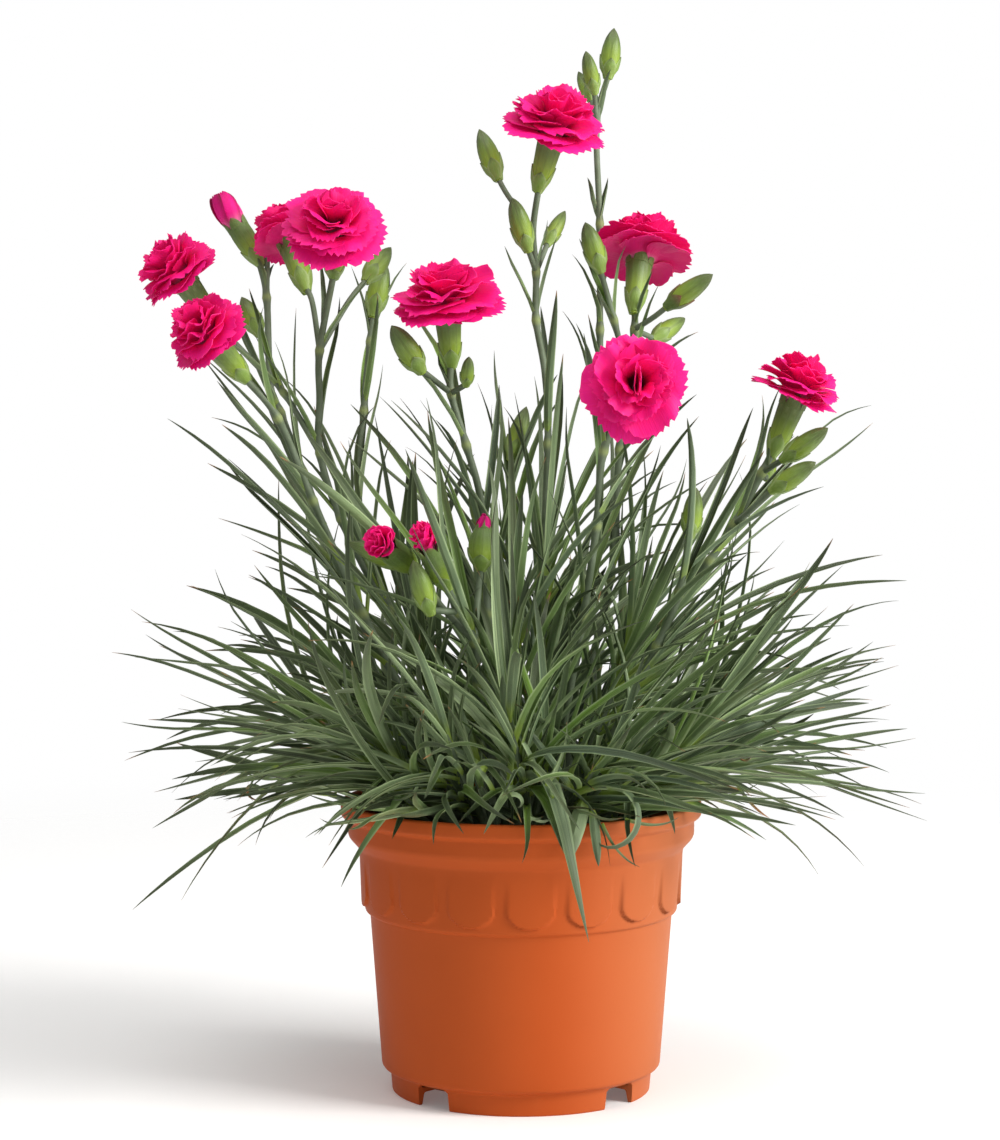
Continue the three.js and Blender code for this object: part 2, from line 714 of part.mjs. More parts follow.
// The place on any stem, above the soil, that is nearest to a point.
function nearestStem(stems, point) {
  let best = null;
  stems.forEach((stem) => {
    const { points } = stem.axes[0];
    for (let share = 0.25; share <= 0.98; share += 0.02) {
      const place = axisPoint(points, share);
      const away = place.point.distanceTo(point);
      if (!best || away < best.away) {
        best = { stem, ...place, away };
      }
    }
  });
  return best;
}

function placeOutlineLeaves(stems) {
  outlineLeaves.forEach((wish, index) => {
    const { stem, point } = nearestStem(stems, vec(wish.from));
    const leaf = settle(
      stem.name,
      (attempt) => {
        const roll = dice(20000 + index * 300 + attempt);
        const loose = Math.min(attempt * 0.45, 22);
        const tip = vec(wish.tip);
        tip.add(new THREE.Vector3(spread(roll, loose * 0.4), spread(roll, loose), spread(roll, loose * 0.4)));
        const guide = point.clone().lerp(tip, 0.5);
        guide.z += wish.arch + Math.abs(spread(roll, loose * 0.5));
        return { root: point, guide, tip, width: wish.width ?? bladeWidth };
      },
      90,
    );
    if (leaf) {
      stem.leaves.push(leaf);
    }
  });
}

const lowestTip = 92;

// A leaf that leaves its stem at an angle and bends outward and down with its length.
function drawLeaf(place, angle, opening, length, width, droop) {
  const side = new THREE.Vector3(1, 0, 0).addScaledVector(place.along, -place.along.x).normalize();
  const front = place.along.clone().cross(side);
  const away = side.multiplyScalar(Math.cos(angle)).addScaledVector(front, Math.sin(angle));
  const early = place.along.clone().multiplyScalar(Math.cos(opening * 0.55));
  early.addScaledVector(away, Math.sin(opening * 0.55));
  const late = place.along.clone().multiplyScalar(Math.cos(opening)).addScaledVector(away, Math.sin(opening));
  const guide = toward(place.point, early, length * 0.5);
  const tip = toward(place.point, late, length);
  tip.z = Math.max(tip.z - droop * length, lowestTip);
  return { root: place.point, guide, tip, width };
}

function placeShootLeaves(shoots) {
  const mostPairs = Math.max(...shootRings.map((ring) => ring.pairs));
  for (let pair = 0; pair < mostPairs; pair += 1) {
    shoots.forEach((shoot, index) => {
      for (let side = 0; side < 2 && pair < shoot.pairs; side += 1) {
        const share = 0.34 + (0.64 * (pair + 0.5)) / shoot.pairs;
        const place = axisPoint(shoot.axes[0].points, share);
        const height = (pair + 0.5) / shoot.pairs;
        const leaf = settle(
          shoot.name,
          (attempt) => {
            const roll = dice(60000 + index * 4000 + pair * 300 + side * 150 + attempt);
            const angle = pair * 1.57 + side * 3.14 + index * 0.8 + spread(roll, 0.25 + attempt * 0.05);
            const opening = 1.15 - height * 0.75 + spread(roll, 0.15 + attempt * 0.008);
            const length = (78 + 26 * Math.sin(height * 2.6) + spread(roll, 12)) * (1 - attempt * 0.004);
            const width = bladeWidth * (0.92 + roll() * 0.16);
            return drawLeaf(place, angle, opening, length, width, 0.06 + roll() * 0.14);
          },
          70,
        );
        if (leaf) {
          shoot.leaves.push(leaf);
        }
      }
    });
  }
}

const lowestJointLeaf = 150;
const highestJointLeaf = 262;

// Leaves on the flower stems' joints, shorter and more upright towards the top.
function placeJointLeaves(stems) {
  stems.forEach((stem, index) => {
    stem.joints.forEach((joint, number) => {
      const leafy = joint.point.z > lowestJointLeaf && joint.point.z < highestJointLeaf;
      for (let side = 0; side < 2 && leafy; side += 1) {
        const leaf = settle(
          stem.name,
          (attempt) => {
            const roll = dice(200000 + index * 6000 + number * 400 + side * 180 + attempt);
            const angle = number * 1.57 + side * 3.14 + index + spread(roll, 0.3 + attempt * 0.04);
            const opening = 0.3 + spread(roll, 0.1) + attempt * 0.004;
            const full = 98 - (joint.point.z - 118) * 0.5;
            const length = Math.max(full, 11) * (0.9 + roll() * 0.2) * (1 - attempt * 0.004);
            const width = Math.min(2.2 + length * 0.022, bladeWidth);
            return drawLeaf(joint, angle, opening, length, width, 0.02 + roll() * 0.05);
          },
          70,
        );
        if (leaf) {
          stem.leaves.push(leaf);
        }
      }
    });
  });
}

// ---------------------------------------------------------------- the pot and the compost

function potSolid() {
  const inner = pot.wall;
  const under = pot.floorHeight;
  const profile = [
    [0, 0],
    [pot.padRadius, 0],
    [pot.padRadius + 1.5, under],
    [pot.footRadius - 2.4, under],
    [pot.footRadius - 1.6, 0],
    [pot.footRadius, 0],
    [pot.footRadius + 0.6, pot.notchHeight],
    [pot.bodyFootRadius, pot.bodyFootHeight],
    [pot.bodyRadius, pot.stepHeight - 0.8],
    [pot.stepRadius, pot.stepHeight],
    [pot.neckRadius, pot.neckHeight],
    [pot.bandRadius, pot.neckHeight + 4],
    [pot.bandRadius, pot.lipFoot],
    [pot.lipRadius, pot.lipFoot + 1.4],
    [pot.lipRadius, pot.height],
    [pot.lipRadius - 2.2, pot.height],
    [pot.bandRadius - inner, pot.height - 3],
    [pot.bandRadius - inner, pot.neckHeight + 4.6],
    [pot.neckRadius - inner, pot.neckHeight + 0.6],
    [pot.bodyFootRadius - inner, pot.bodyFootHeight + 1],
    [pot.footRadius - inner, pot.floorHeight + pot.floorThickness],
    [0, pot.floorHeight + pot.floorThickness],
  ].map(([x, y]) => new THREE.Vector2(x, y));
  const lathe = new THREE.LatheGeometry(profile, pot.facets).rotateX(Math.PI / 2);
  return toSolid(lathe.rotateZ(pot.turn));
}

// One of the raised tongues round the collar: flush at the top, proud and round at the bottom.
function panelSolid(index) {
  const half = panel.width / 2;
  const rise = half * 0.7;
  const shape = new THREE.Shape();
  shape.moveTo(-half, panel.top);
  shape.lineTo(-half, panel.bottom + rise);
  shape.quadraticCurveTo(-half, panel.bottom, 0, panel.bottom);
  shape.quadraticCurveTo(half, panel.bottom, half, panel.bottom + rise);
  shape.lineTo(half, panel.top);
  const geometry = new THREE.ExtrudeGeometry(shape, { depth: 1, bevelEnabled: false, curveSegments: 2 });
  geometry.rotateX(Math.PI / 2);
  const slope = (pot.neckRadius - pot.stepRadius) / (pot.neckHeight - pot.stepHeight);
  const position = geometry.attributes.position;
  for (let i = 0; i < position.count; i += 1) {
    const z = position.getZ(i);
    const wall = pot.stepRadius + (z - pot.stepHeight) * slope;
    const share = (panel.top - z) / (panel.top - panel.bottom);
    const front = position.getY(i) < -0.5;
    position.setY(i, -wall + (front ? -panel.proud * share : panel.sink));
  }
  geometry.rotateZ(pot.turn + (index * Math.PI * 2) / panel.count);
  return toSolid(geometry);
}

function potWithDetails() {
  const notches = [0.25, 0.75, 1.25, 1.75].map((halfTurns) => {
    const box = new THREE.BoxGeometry(14, pot.notchWidth, pot.notchHeight * 2);
    box.translate(pot.footRadius, 0, 0);
    box.rotateZ(pot.turn + halfTurns * Math.PI);
    return toSolid(box);
  });
  const drains = Array.from({ length: drain.count }, (_, i) => {
    const hole = new THREE.CylinderGeometry(drain.radius, drain.radius, 12, 5);
    hole.rotateX(Math.PI / 2);
    hole.translate(drain.ring, 0, pot.floorHeight);
    hole.rotateZ(pot.turn + ((i + 0.5) * Math.PI * 2) / drain.count);
    return toSolid(hole);
  });
  const panels = Array.from({ length: panel.count }, (_, i) => panelSolid(i));
  return fuse([potSolid(), ...panels]).subtract(fuse([...notches, ...drains]));
}

// Compost fills the pot to just below the lip, with a plain hole for each stem that stands in it.
function compostSolid(feet, pit) {
  const gap = soil.gap + 0.25;
  const floor = pot.floorHeight + pot.floorThickness + soil.gap;
  const profile = [
    [0, floor],
    [pot.footRadius - pot.wall - gap - 0.4, floor],
    [pot.bodyFootRadius - pot.wall - gap - 0.4, pot.bodyFootHeight + 1.2],
    [pot.neckRadius - pot.wall - gap, pot.neckHeight + 0.6],
    [pot.bandRadius - pot.wall - gap - 0.6, pot.neckHeight + 4.6],
    [pot.bandRadius - pot.wall - gap - 0.6, soil.surface - 1.4],
    [30, soil.surface],
    [0, soil.surface],
  ].map(([x, y]) => new THREE.Vector2(x, y));
  const body = toSolid(new THREE.LatheGeometry(profile, soil.facets).rotateX(Math.PI / 2));
  const holes = feet.map(({ foot, radius }) => {
    const hole = new THREE.CylinderGeometry(radius, radius, plantingDepth * 2, 5);
    hole.rotateX(Math.PI / 2);
    hole.translate(foot[0], foot[1], soil.surface + soil.gap * -1);
    return toSolid(hole);
  });
  return body.subtract(fuse([...holes, pit]));
}

// The woody head and taproot under the middle of the tuft, or the pit in the compost around it.
function taprootSolid(gap) {
  const rings = [
    [0, taproot.tipHeight - gap * 2],
    [taproot.neckRadius * 0.55 + gap, 62],
    [taproot.neckRadius + gap, taproot.neckHeight],
    [taproot.headRadius + gap, soil.surface - 1],
    [taproot.headRadius * 0.7 + gap, taproot.headHeight + gap * 4],
  ];
  const points = rings.map(([, height]) => new THREE.Vector3(0, 0, height));
  return rod(points, rings.map(([radius]) => radius), 7);
}

// ---------------------------------------------------------------- assembly

const stems = flowerStems.map((plan, i) => planStem(`flower_stem_${String(i + 1).padStart(2, '0')}`, plan));

stems.forEach((stem) => {
  stem.axes.forEach((axis) => placed.push(boxed(stem.name, polyline(axis.points), stemRadius * 1.5)));
  stem.buds.forEach((bud) => placed.push(boxed(stem.name, [[bud.base, bud.tip]], bud.radius)));
  stem.calyces.forEach((cup) => {
    const mouth = toward(cup.base, cup.along, calyx.length);
    const top = toward(mouth, cup.along, 12);
    placed.push(boxed(stem.name, [[cup.base, mouth]], calyx.mouthRadius));
    placed.push(boxed(`${stem.name} bloom`, [[toward(mouth, cup.along, 3), top]], cup.radius + 0.5));
  });
});

const rootLine = [new THREE.Vector3(0, 0, 60), new THREE.Vector3(0, 0, 90)];
placed.push(boxed('rootstock', [rootLine], taproot.headRadius));

const shoots = planShoots();
placeOutlineLeaves([...shoots, ...stems]);
placeJointLeaves(stems);
placeShootLeaves(shoots);

const looks = {
  pot: { color: 0xc65f33, roughness: 0.55, metalness: 0 },
  compost: { color: 0x2b2018, roughness: 1, metalness: 0 },
  wood: { color: 0x6b4a2c, roughness: 0.9, metalness: 0 },
  leaves: { color: 0x5f7a58, roughness: 0.6, metalness: 0 },
  stems: { color: 0x74895f, roughness: 0.55, metalness: 0 },
  petals: { color: 0xe8186e, roughness: 0.6, metalness: 0 },
};

function stemSolid(stem) {
  const axes = stem.axes.map((axis, i) => rod(axis.points, axis.radii, i > 0 ? 3 : 4));
  const buds = stem.buds.map((bud) => {
    const { points, radii } = budRings(bud);
    return rod(points, radii, 5);
  });
  const cups = stem.calyces.map((cup) => {
    const { points, radii } = calyxRings(cup);
    return rod(points, radii, 6);
  });
  const sockets = stem.calyces.map((cup) => {
    const scale = calyxScale(cup);
    const mouth = toward(cup.base, cup.along, calyx.length * scale);
    const neck = (calyx.mouthRadius - 0.75) * scale;
    const points = [toward(mouth, cup.along, -calyx.socketDepth * scale), mouth, toward(mouth, cup.along, 1)];
    return rod(points, [neck * 0.7, neck, neck * 1.05], 6);
  });
  const whole = fuse([...axes, ...buds, ...cups, ...stem.leaves.map(blade)]);
  return sockets.length ? whole.subtract(fuse(sockets)) : whole;
}

const plant = new THREE.Group();

plant.add(toMesh('pot', potWithDetails(), looks.pot));

const feet = [
  ...stems.map((stem) => ({ foot: stem.foot, radius: stemRadius * 1.14 + holeGap + 0.35 })),
  ...shoots.map((shoot) => ({ foot: shoot.foot, radius: shootRadius + holeGap + 0.4 })),
];
plant.add(toMesh('compost', compostSolid(feet, taprootSolid(0.35)), looks.compost));
plant.add(toMesh('rootstock', taprootSolid(0), looks.wood));

shoots.forEach((shoot) => {
  const { points, radii } = shoot.axes[0];
  const solid = fuse([rod(points, radii, 3), ...shoot.leaves.map(blade)]);
  plant.add(toMesh(shoot.name, solid, looks.leaves));
});

stems.forEach((stem) => plant.add(toMesh(stem.name, stemSolid(stem), looks.stems)));

stems
  .flatMap((stem) => stem.calyces)
  .forEach((cup, i) => {
    const name = `bloom_${String(i + 1).padStart(2, '0')}`;
    plant.add(toMesh(name, bloomSolid(cup), looks.petals));
  });

export default plant;
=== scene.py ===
# A pink-flowered dianthus in its round plastic pot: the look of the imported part.
import math
import bpy
import numpy as np
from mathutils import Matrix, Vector


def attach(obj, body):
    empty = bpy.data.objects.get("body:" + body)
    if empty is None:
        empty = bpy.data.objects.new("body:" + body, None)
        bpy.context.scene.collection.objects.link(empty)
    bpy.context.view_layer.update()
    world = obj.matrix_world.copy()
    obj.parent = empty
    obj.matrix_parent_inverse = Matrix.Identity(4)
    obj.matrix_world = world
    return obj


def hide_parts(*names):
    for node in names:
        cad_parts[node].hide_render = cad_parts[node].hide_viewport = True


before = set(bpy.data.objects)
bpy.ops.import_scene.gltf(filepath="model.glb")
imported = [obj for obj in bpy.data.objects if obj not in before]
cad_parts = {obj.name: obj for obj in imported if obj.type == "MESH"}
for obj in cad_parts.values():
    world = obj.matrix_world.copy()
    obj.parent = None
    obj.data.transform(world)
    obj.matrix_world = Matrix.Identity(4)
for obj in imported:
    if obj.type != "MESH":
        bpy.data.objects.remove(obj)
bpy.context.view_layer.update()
print("frame loaded:", len(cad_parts), "nodes")

# Everything grows in millimetres, from the middle of the pad under the pot, and turns to metres in its mesh.
millimetre = 0.001
pot = {
    "height": 97, "lipRadius": 60, "lipFoot": 91, "bandRadius": 57.6, "neckRadius": 54, "neckHeight": 81.5,
    "stepHeight": 60.5, "stepRadius": 51.9, "bodyRadius": 50.3, "bodyFootRadius": 46.4, "bodyFootHeight": 8.4,
    "footRadius": 43, "wall": 1.5, "floorHeight": 4, "floorThickness": 1.6, "padRadius": 13,
    "notchWidth": 13, "notchHeight": 7.2, "turn": 3, "drains": 6, "drainRadius": 3, "drainRing": 29,
    "tongues": 17, "tongueWidth": 15.6, "tongueTop": 79, "tongueBottom": 62.4, "tongueProud": 1.1,
}
soil = {"surface": 88, "gap": 0.3, "plantingDepth": 11}
# A stalk is wider at its foot, thinner by so much for each millimetre up, and thinner again in its branches.
stalk = {"radius": 1.25, "foot": 1.12, "taper": 0.0012, "branch": 0.85, "joint": 1.4, "room": 1.5}
calyx = {"length": 16, "mouthRadius": 4.4}
bladeWidth = 4.2

# Flower stems: where each stands, the points that it grows through, which of those are joints, and its end.
# An end is a bud (its tip) or a bloom (how open, where its calyx starts, which way it faces, its radius).
# A branch starts at a joint of the main stem, or of an earlier branch when it says "of".
flowerStems = [
    {"foot": (-15, 11), "joints": (0, 1, 2, 3, 5),
     "route": [(-30, 12, 118), (-55, 13, 158), (-73, 17, 205), (-81, 23, 225), (-85, 30, 235),
               (-87, 43, 264)],
     "end": {"bloom": "closed", "base": (-90, 48, 277), "faces": (-16, 4, 25), "radius": 4},
     "branches": [{"at": 5, "route": [(-87, 49, 282)], "end": {"bud": (-82, 54, 296), "radius": 3.4}}]},
    {"foot": (-17, -9), "joints": (0, 1, 2, 3),
     "route": [(-30, -10, 116), (-52, -12, 160), (-68, -15, 197), (-79, -20, 224)],
     "end": {"bloom": "open", "base": (-90, -24, 238), "faces": (-11, -12, 14), "radius": 14.5}},
    {"foot": (-9, 2), "joints": (0, 1, 2, 3, 5),
     "route": [(-22, 3, 118), (-44, 5, 158), (-60, 7, 190), (-67, 8, 212), (-67, 8, 230), (-67, 9, 246)],
     "end": {"bloom": "open", "base": (-62, 7, 272), "faces": (1, -15, 14), "radius": 17.5},
     "branches": [
         {"at": 3, "route": [(-79, 8, 232), (-88, 10, 241)], "joints": (0,),
          "end": {"bloom": "open", "base": (-103, 17, 256), "faces": (-11, -7, 16), "radius": 14.5}},
         {"at": 3, "of": 0, "joint": 0, "route": [(-84, 14, 243), (-88, 19, 252)],
          "end": {"bud": (-94, 23, 264), "radius": 3.3}},
         {"at": 5, "route": [(-70, 20, 262)],
          "end": {"bloom": "open", "base": (-73, 26, 268), "faces": (-5, 9, 14), "radius": 13.5}},
         {"at": 5, "route": [(-58, 19, 262), (-52, 27, 270)],
          "end": {"bud": (-44, 34, 281), "radius": 3.4}}]},
    {"foot": (-9, 20), "joints": (0, 1, 2, 3, 4),
     "route": [(-22, 22, 118), (-44, 27, 158), (-55, 37, 190), (-54, 48, 225), (-52, 54, 249)],
     "end": {"base": (-51, 56, 259), "bud": (-47, 60, 277), "radius": 3.8}},
    {"foot": (-5, -9), "joints": (0, 1, 3, 4),
     "route": [(-8, -11, 118), (-11, -14, 160), (-13, -14, 195), (-18, -12, 215), (-23, -10, 232)],
     "end": {"bloom": "open", "base": (-23, -10, 243), "faces": (-1, -6, 15), "radius": 19.5},
     "branches": [
         {"at": 4, "route": [(-28, -14, 236), (-33, -17, 240)],
          "end": {"bud": (-42, -23, 254), "radius": 3.9}},
         {"at": 4, "route": [(-18, -17, 235)], "end": {"bud": (-17, -21, 244), "radius": 2.2}}]},
    {"foot": (2, 6), "joints": (0, 1, 2, 4, 5),
     "route": [(4, 8, 120), (7, 9, 165), (9, 10, 215), (8, 10, 238), (5, 10, 256), (5, 10, 272), (4, 8, 286)],
     "end": {"bloom": "open", "base": (6, 5, 301), "faces": (4, -6, 15), "radius": 18.5},
     "branches": [
         {"at": 5, "route": [(2, 3, 280)], "end": {"bud": (-3, -2, 296), "radius": 3.5}},
         {"at": 5, "route": [(9, 19, 282)], "end": {"bud": (15, 27, 293), "radius": 2.5}},
         {"at": 6, "route": [(-4, 15, 297), (-8, 18, 304)], "end": {"bud": (-14, 22, 320), "radius": 3.5}}]},
    {"foot": (8, 21), "joints": (0, 1, 2, 3, 4, 5),
     "route": [(14, 24, 120), (25, 27, 170), (27, 30, 216), (27, 34, 253), (27, 38, 289), (26, 42, 323)],
     "end": {"base": (30, 45, 340), "bud": (32, 46, 356), "radius": 3.4},
     "branches": [
         {"at": 5, "route": [(25, 37, 334)], "end": {"bud": (22, 33, 347), "radius": 2.7}},
         {"at": 5, "route": [(24, 49, 332)], "end": {"bud": (20, 54, 342), "radius": 2.2}}]},
    {"foot": (11, 7), "joints": (0, 1, 2, 3, 4),
     "route": [(18, 9, 120), (30, 12, 170), (33, 14, 213), (36, 14, 236), (38, 16, 253)],
     "end": {"bloom": "open", "base": (38, 16, 261), "faces": (2, 8, 15), "radius": 17.5},
     "branches": [
         {"at": 4, "route": [(44, 8, 257), (49, 5, 261)], "end": {"bud": (63, -1, 271), "radius": 3.4}},
         {"at": 3, "route": [(31, 9, 256), (26, 3, 273)], "joints": (0,),
          "end": {"bud": (21, -1, 288), "radius": 3.5}},
         {"at": 4, "route": [(45, 25, 250)], "end": {"bud": (56, 35, 257), "radius": 3.1}}]},
    {"foot": (10, -9), "joints": (0, 1, 2, 3),
     "route": [(13, -14, 118), (20, -24, 160), (24, -32, 190), (26, -38, 214)],
     "end": {"bloom": "open", "base": (34, -39, 231), "faces": (1, -20, 4), "radius": 17.5}},
    {"foot": (20, -1), "joints": (0, 1, 2, 3, 4),
     "route": [(32, -3, 124), (47, -6, 156), (62, -8, 177), (70, -8, 189), (79, -8, 206)],
     "end": {"bloom": "open", "base": (83, -8, 214), "faces": (7, -2, 18), "radius": 15.5},
     "branches": [
         {"at": 4, "route": [(86, -15, 211)], "end": {"bud": (99, -23, 221), "radius": 3.3}},
         {"at": 3, "route": [(74, -13, 193), (82, -18, 201)], "end": {"bud": (95, -24, 210), "radius": 3.3}},
         {"at": 4, "route": [(81, -1, 204)], "end": {"bud": (84, 5, 211), "radius": 2.3}}]},
    {"foot": (19, -13), "joints": (0, 1, 2),
     "route": [(29, -16, 118), (44, -22, 150), (51, -26, 168)],
     "end": {"base": (54, -30, 187), "bud": (56, -32, 202), "radius": 3.3}},
    {"foot": (-5, -21), "joints": (0, 1, 2, 3),
     "route": [(-9, -32, 114), (-14, -44, 140), (-15, -50, 154), (-20, -54, 164)],
     "end": {"bloom": "half", "base": (-24, -57, 173), "faces": (-6, -8, 14), "radius": 4.6},
     "branches": [
         {"at": 2, "route": [(-28, -49, 168)], "joints": (0,),
          "end": {"bloom": "half", "base": (-35, -49, 178), "faces": (-11, -16, 10), "radius": 6}},
         {"at": 2, "of": 0, "joint": 0, "route": [(-38, -43, 178)],
          "end": {"bud": (-56, -39, 185), "radius": 3}},
         {"at": 2, "route": [(-14, -42, 168)],
          "end": {"bloom": "tip", "base": (-13, -41, 178), "faces": (1, -1, 16), "radius": 2.7}},
         {"at": 3, "route": [(-29, -62, 165)], "end": {"bud": (-34, -67, 181), "radius": 3.4}}]},
    {"foot": (-2, 14), "joints": (0, 1, 2),
     "route": [(-3, 18, 120), (-4, 23, 170), (-4, 26, 195)],
     "end": {"base": (-3, 28, 210), "bud": (2, 32, 227), "radius": 3.4},
     "branches": [{"at": 1, "route": [(-12, 22, 184)], "end": {"bud": (-17, 22, 199), "radius": 2.7}}]},
]

# Rings of leafy shoots: the outer ones lean over the pot's lip, the inner ones rise. Each value may stray
# from its ring's by so much, and by so much more with each try. Bends are shares of the way out and of the
# way up.
shootForm = {"radius": 1.7, "taper": 0.55, "room": 0.6, "tries": 200,
             "bends": ((0.35, 0.38), (0.72, 0.68), (1, 1)),
             "stray": {"turn": (3, 0.15), "foot": (2, 0.03), "reach": 5, "height": 8, "lean": 0.2}}
shootRings = [
    {"count": 8, "footRadius": 26, "reach": 62, "height": 126, "pairs": 5, "turn": 8},
    {"count": 6, "footRadius": 17, "reach": 40, "height": 150, "pairs": 4, "turn": 28},
    {"count": 3, "footRadius": 8, "reach": 14, "height": 168, "pairs": 4, "turn": 70},
]

# The leaves over the front of the lip and those that draw the outline. Of each: its tip, the place that it
# comes from, how high it arches, and its width where that isn't the usual one.
outlineLeaves = [
    ((18, -84, 64), (2, -35, 108), 43, 7), ((14, -70, 88), (20, -38, 108), 14, 5.2),
    ((23, -70, 87), (17, -35, 105), 16, 3.6), ((32, -67, 85), (22, -36, 104), 15, 3.4),
    ((49, -54, 94), (34, -34, 106), 9, 3.8), ((-3, -67, 91), (-8, -38, 104), 11, 4),
    ((-18, -66, 95), (-8, -38, 104), 9, 3.8), ((-41, -56, 92), (-28, -36, 106), 10),
    ((-60, -59, 77), (-26, -30, 107), 27, 4.6), ((-134, -10, 149), (-63, -8, 122), 4),
    ((-128, 25, 145), (-74, 15, 123), 5), ((-112, -30, 159), (-63, -15, 132), 5),
    ((-106, 10, 170), (-64, 5, 133), 3), ((-88, -25, 174), (-56, -15, 138), 3),
    ((-86, 30, 175), (-56, 15, 139), 3), ((-121, -25, 126), (-60, -10, 121), 3),
    ((-135, 20, 117), (-64, 10, 110), 6), ((-123, 40, 102), (-61, 20, 113), 6),
    ((-118, -25, 89), (-59, -15, 115), 14), ((-110, -40, 70), (-56, -20, 114), 22),
    ((-130, 15, 56), (-47, 10, 105), 18), ((-60, -58, 90), (-39, -35, 111), 12),
    ((-91, -10, 86), (-50, -8, 109), 12), ((121, 10, 145), (57, 8, 124), 4),
    ((112, -15, 139), (42, -10, 125), 12), ((126, 30, 122), (40, 15, 108), 8),
    ((107, -20, 117), (52, -10, 110), 6), ((123, -5, 97), (46, -5, 112), 16),
    ((112, -35, 82), (42, -20, 113), 18), ((96, -55, 84), (32, -30, 109), 14),
    ((108, 45, 102), (54, 20, 106), 8), ((75, -50, 104), (38, -28, 109), 8),
    ((107, 40, 148), (57, 15, 128), 3), ((95, -15, 162), (56, -8, 131), 3),
    ((87, -40, 169), (48, -20, 132), 3), ((95, 20, 173), (57, 10, 136), 3),
    ((97, 45, 174), (54, 22, 135), 3), ((92, 10, 196), (56, 5, 146), 5),
    ((72, -30, 181), (45, -15, 135), 3), ((81, -20, 195), (42, -10, 148), 5),
    ((71, -5, 196), (36, -5, 134), 4), ((60, 25, 207), (30, 15, 156), 4),
    ((47, -35, 215), (16, -20, 152), 4), ((-105, -5, 243), (-63, -10, 191), 4),
    ((-118, 20, 224), (-64, 10, 173), 4), ((-95, -30, 224), (-56, -18, 175), 4),
    ((-98, 15, 207), (-57, 10, 163), 4), ((-63, -20, 220), (-46, -15, 165), 4),
    ((-72, 10, 214), (-50, 8, 163), 4), ((-47, 20, 231), (-14, 12, 176), 5),
    ((-45, -10, 217), (-40, -8, 164), 4), ((-38, 30, 210), (-27, 18, 162), 4),
    ((-25, -20, 225), (-12, -14, 178), 4), ((-14, 10, 226), (-7, 8, 176), 4),
    ((-7, -5, 235), (-4, -5, 184), 4), ((13, -15, 245), (8, -12, 164), 4),
    ((16, 25, 239), (13, 15, 156), 4), ((22, 5, 244), (13, 5, 176), 4),
    ((-62, -62, 141), (-13, -35, 126), 6), ((-53, -64, 132), (12, -30, 116), 10),
    ((-31, -50, 161), (-26, -25, 113), 4), ((2, -42, 179), (-7, -25, 110), 4),
    ((-2, -66, 138), (17, -30, 101), 8), ((28, -46, 167), (9, -25, 107), 4),
]


def vec(*numbers):
    return np.array(numbers, float)


def dot(a, b):
    return a[..., 0] * b[..., 0] + a[..., 1] * b[..., 1] + a[..., 2] * b[..., 2]


def unit(a):
    return a * (1 / math.sqrt(dot(a, a)))


def mixed(a, b, share):
    return a + (b - a) * share


# Where the seeds of each kind of thing start. Each thing, and each try at its place, has its own seed.
seeds = {"shoots": 0, "outlineLeaves": 20000, "jointLeaves": 200000, "shootLeaves": 60000, "fillers": 400000,
         "fillerLeaves": 500000, "moreLeaves": 700000, "flowers": 7000, "shootForms": 9000,
         "stalkForms": 12000}
diceStates = 2 ** 32


def dice(seed):  # even random numbers from 0 to 1, the same for the same seed
    state = (seed * 7919 + 17) % diceStates

    def roll():
        nonlocal state
        state = (state * 1664525 + 1013904223) % diceStates
        return state / diceStates

    roll()
    roll()
    return roll


def spread(roll, size):
    return (roll() * 2 - 1) * size


# Leaves root on their shoot, stay off each other and end inside the reach. Short ones need fewer steps.
leafRules = {"reach": 136, "halfDepth": 0.6, "leastRoom": 0.3, "lowestTip": 92, "short": 42, "early": 0.55}


# A leaf bends in one plane, from its root past a guide point to its tip.
def leafPoint(leaf, t):
    return leaf["root"] * ((1 - t) * (1 - t)) + leaf["guide"] * (2 * t * (1 - t)) + leaf["tip"] * (t * t)


def leafAcross(leaf):
    return unit(np.cross(leaf["guide"] - leaf["root"], leaf["tip"] - leaf["root"]))


def isShort(leaf):
    away = leaf["tip"] - leaf["root"]
    return math.sqrt(dot(away, away)) < leafRules["short"]


def leafLines(leaf):  # both edges and the middle, as straight lines
    steps, widths = ((0, 0.4, 1), (0, 1, 0)) if isShort(leaf) else ((0, 0.24, 0.64, 1), (0, 1, 0.84, 0))
    across = leafAcross(leaf)
    lines = []
    for side in (-1, 0, 1):
        edge = [leafPoint(leaf, t) + across * ((side * leaf["width"] * w) / 2) for t, w in zip(steps, widths)]
        lines += zip(edge[:-1], edge[1:])
    return np.array(lines)


def polyline(points):
    return np.array(list(zip(points[:-1], points[1:])))


def lineGaps(a, b, c, d):  # the least distance of each pair of straight lines a-b and c-d
    u, v, w = b - a, d - c, a - c
    uu, vv, uv, uw, vw = dot(u, u), dot(v, v), dot(u, v), dot(u, w), dot(v, w)
    base = uu * vv - uv * uv
    s = np.clip(np.where(base > 1e-9, (uv * vw - vv * uw) / np.maximum(base, 1e-12), 0), 0, 1)
    t = (uv * s + vw) / vv
    s = np.where(t < 0, np.clip(-uw / uu, 0, 1), np.where(t > 1, np.clip((uv - uw) / uu, 0, 1), s))
    away = w + u * s[..., None] - v * np.clip(t, 0, 1)[..., None]
    return np.sqrt(dot(away, away))


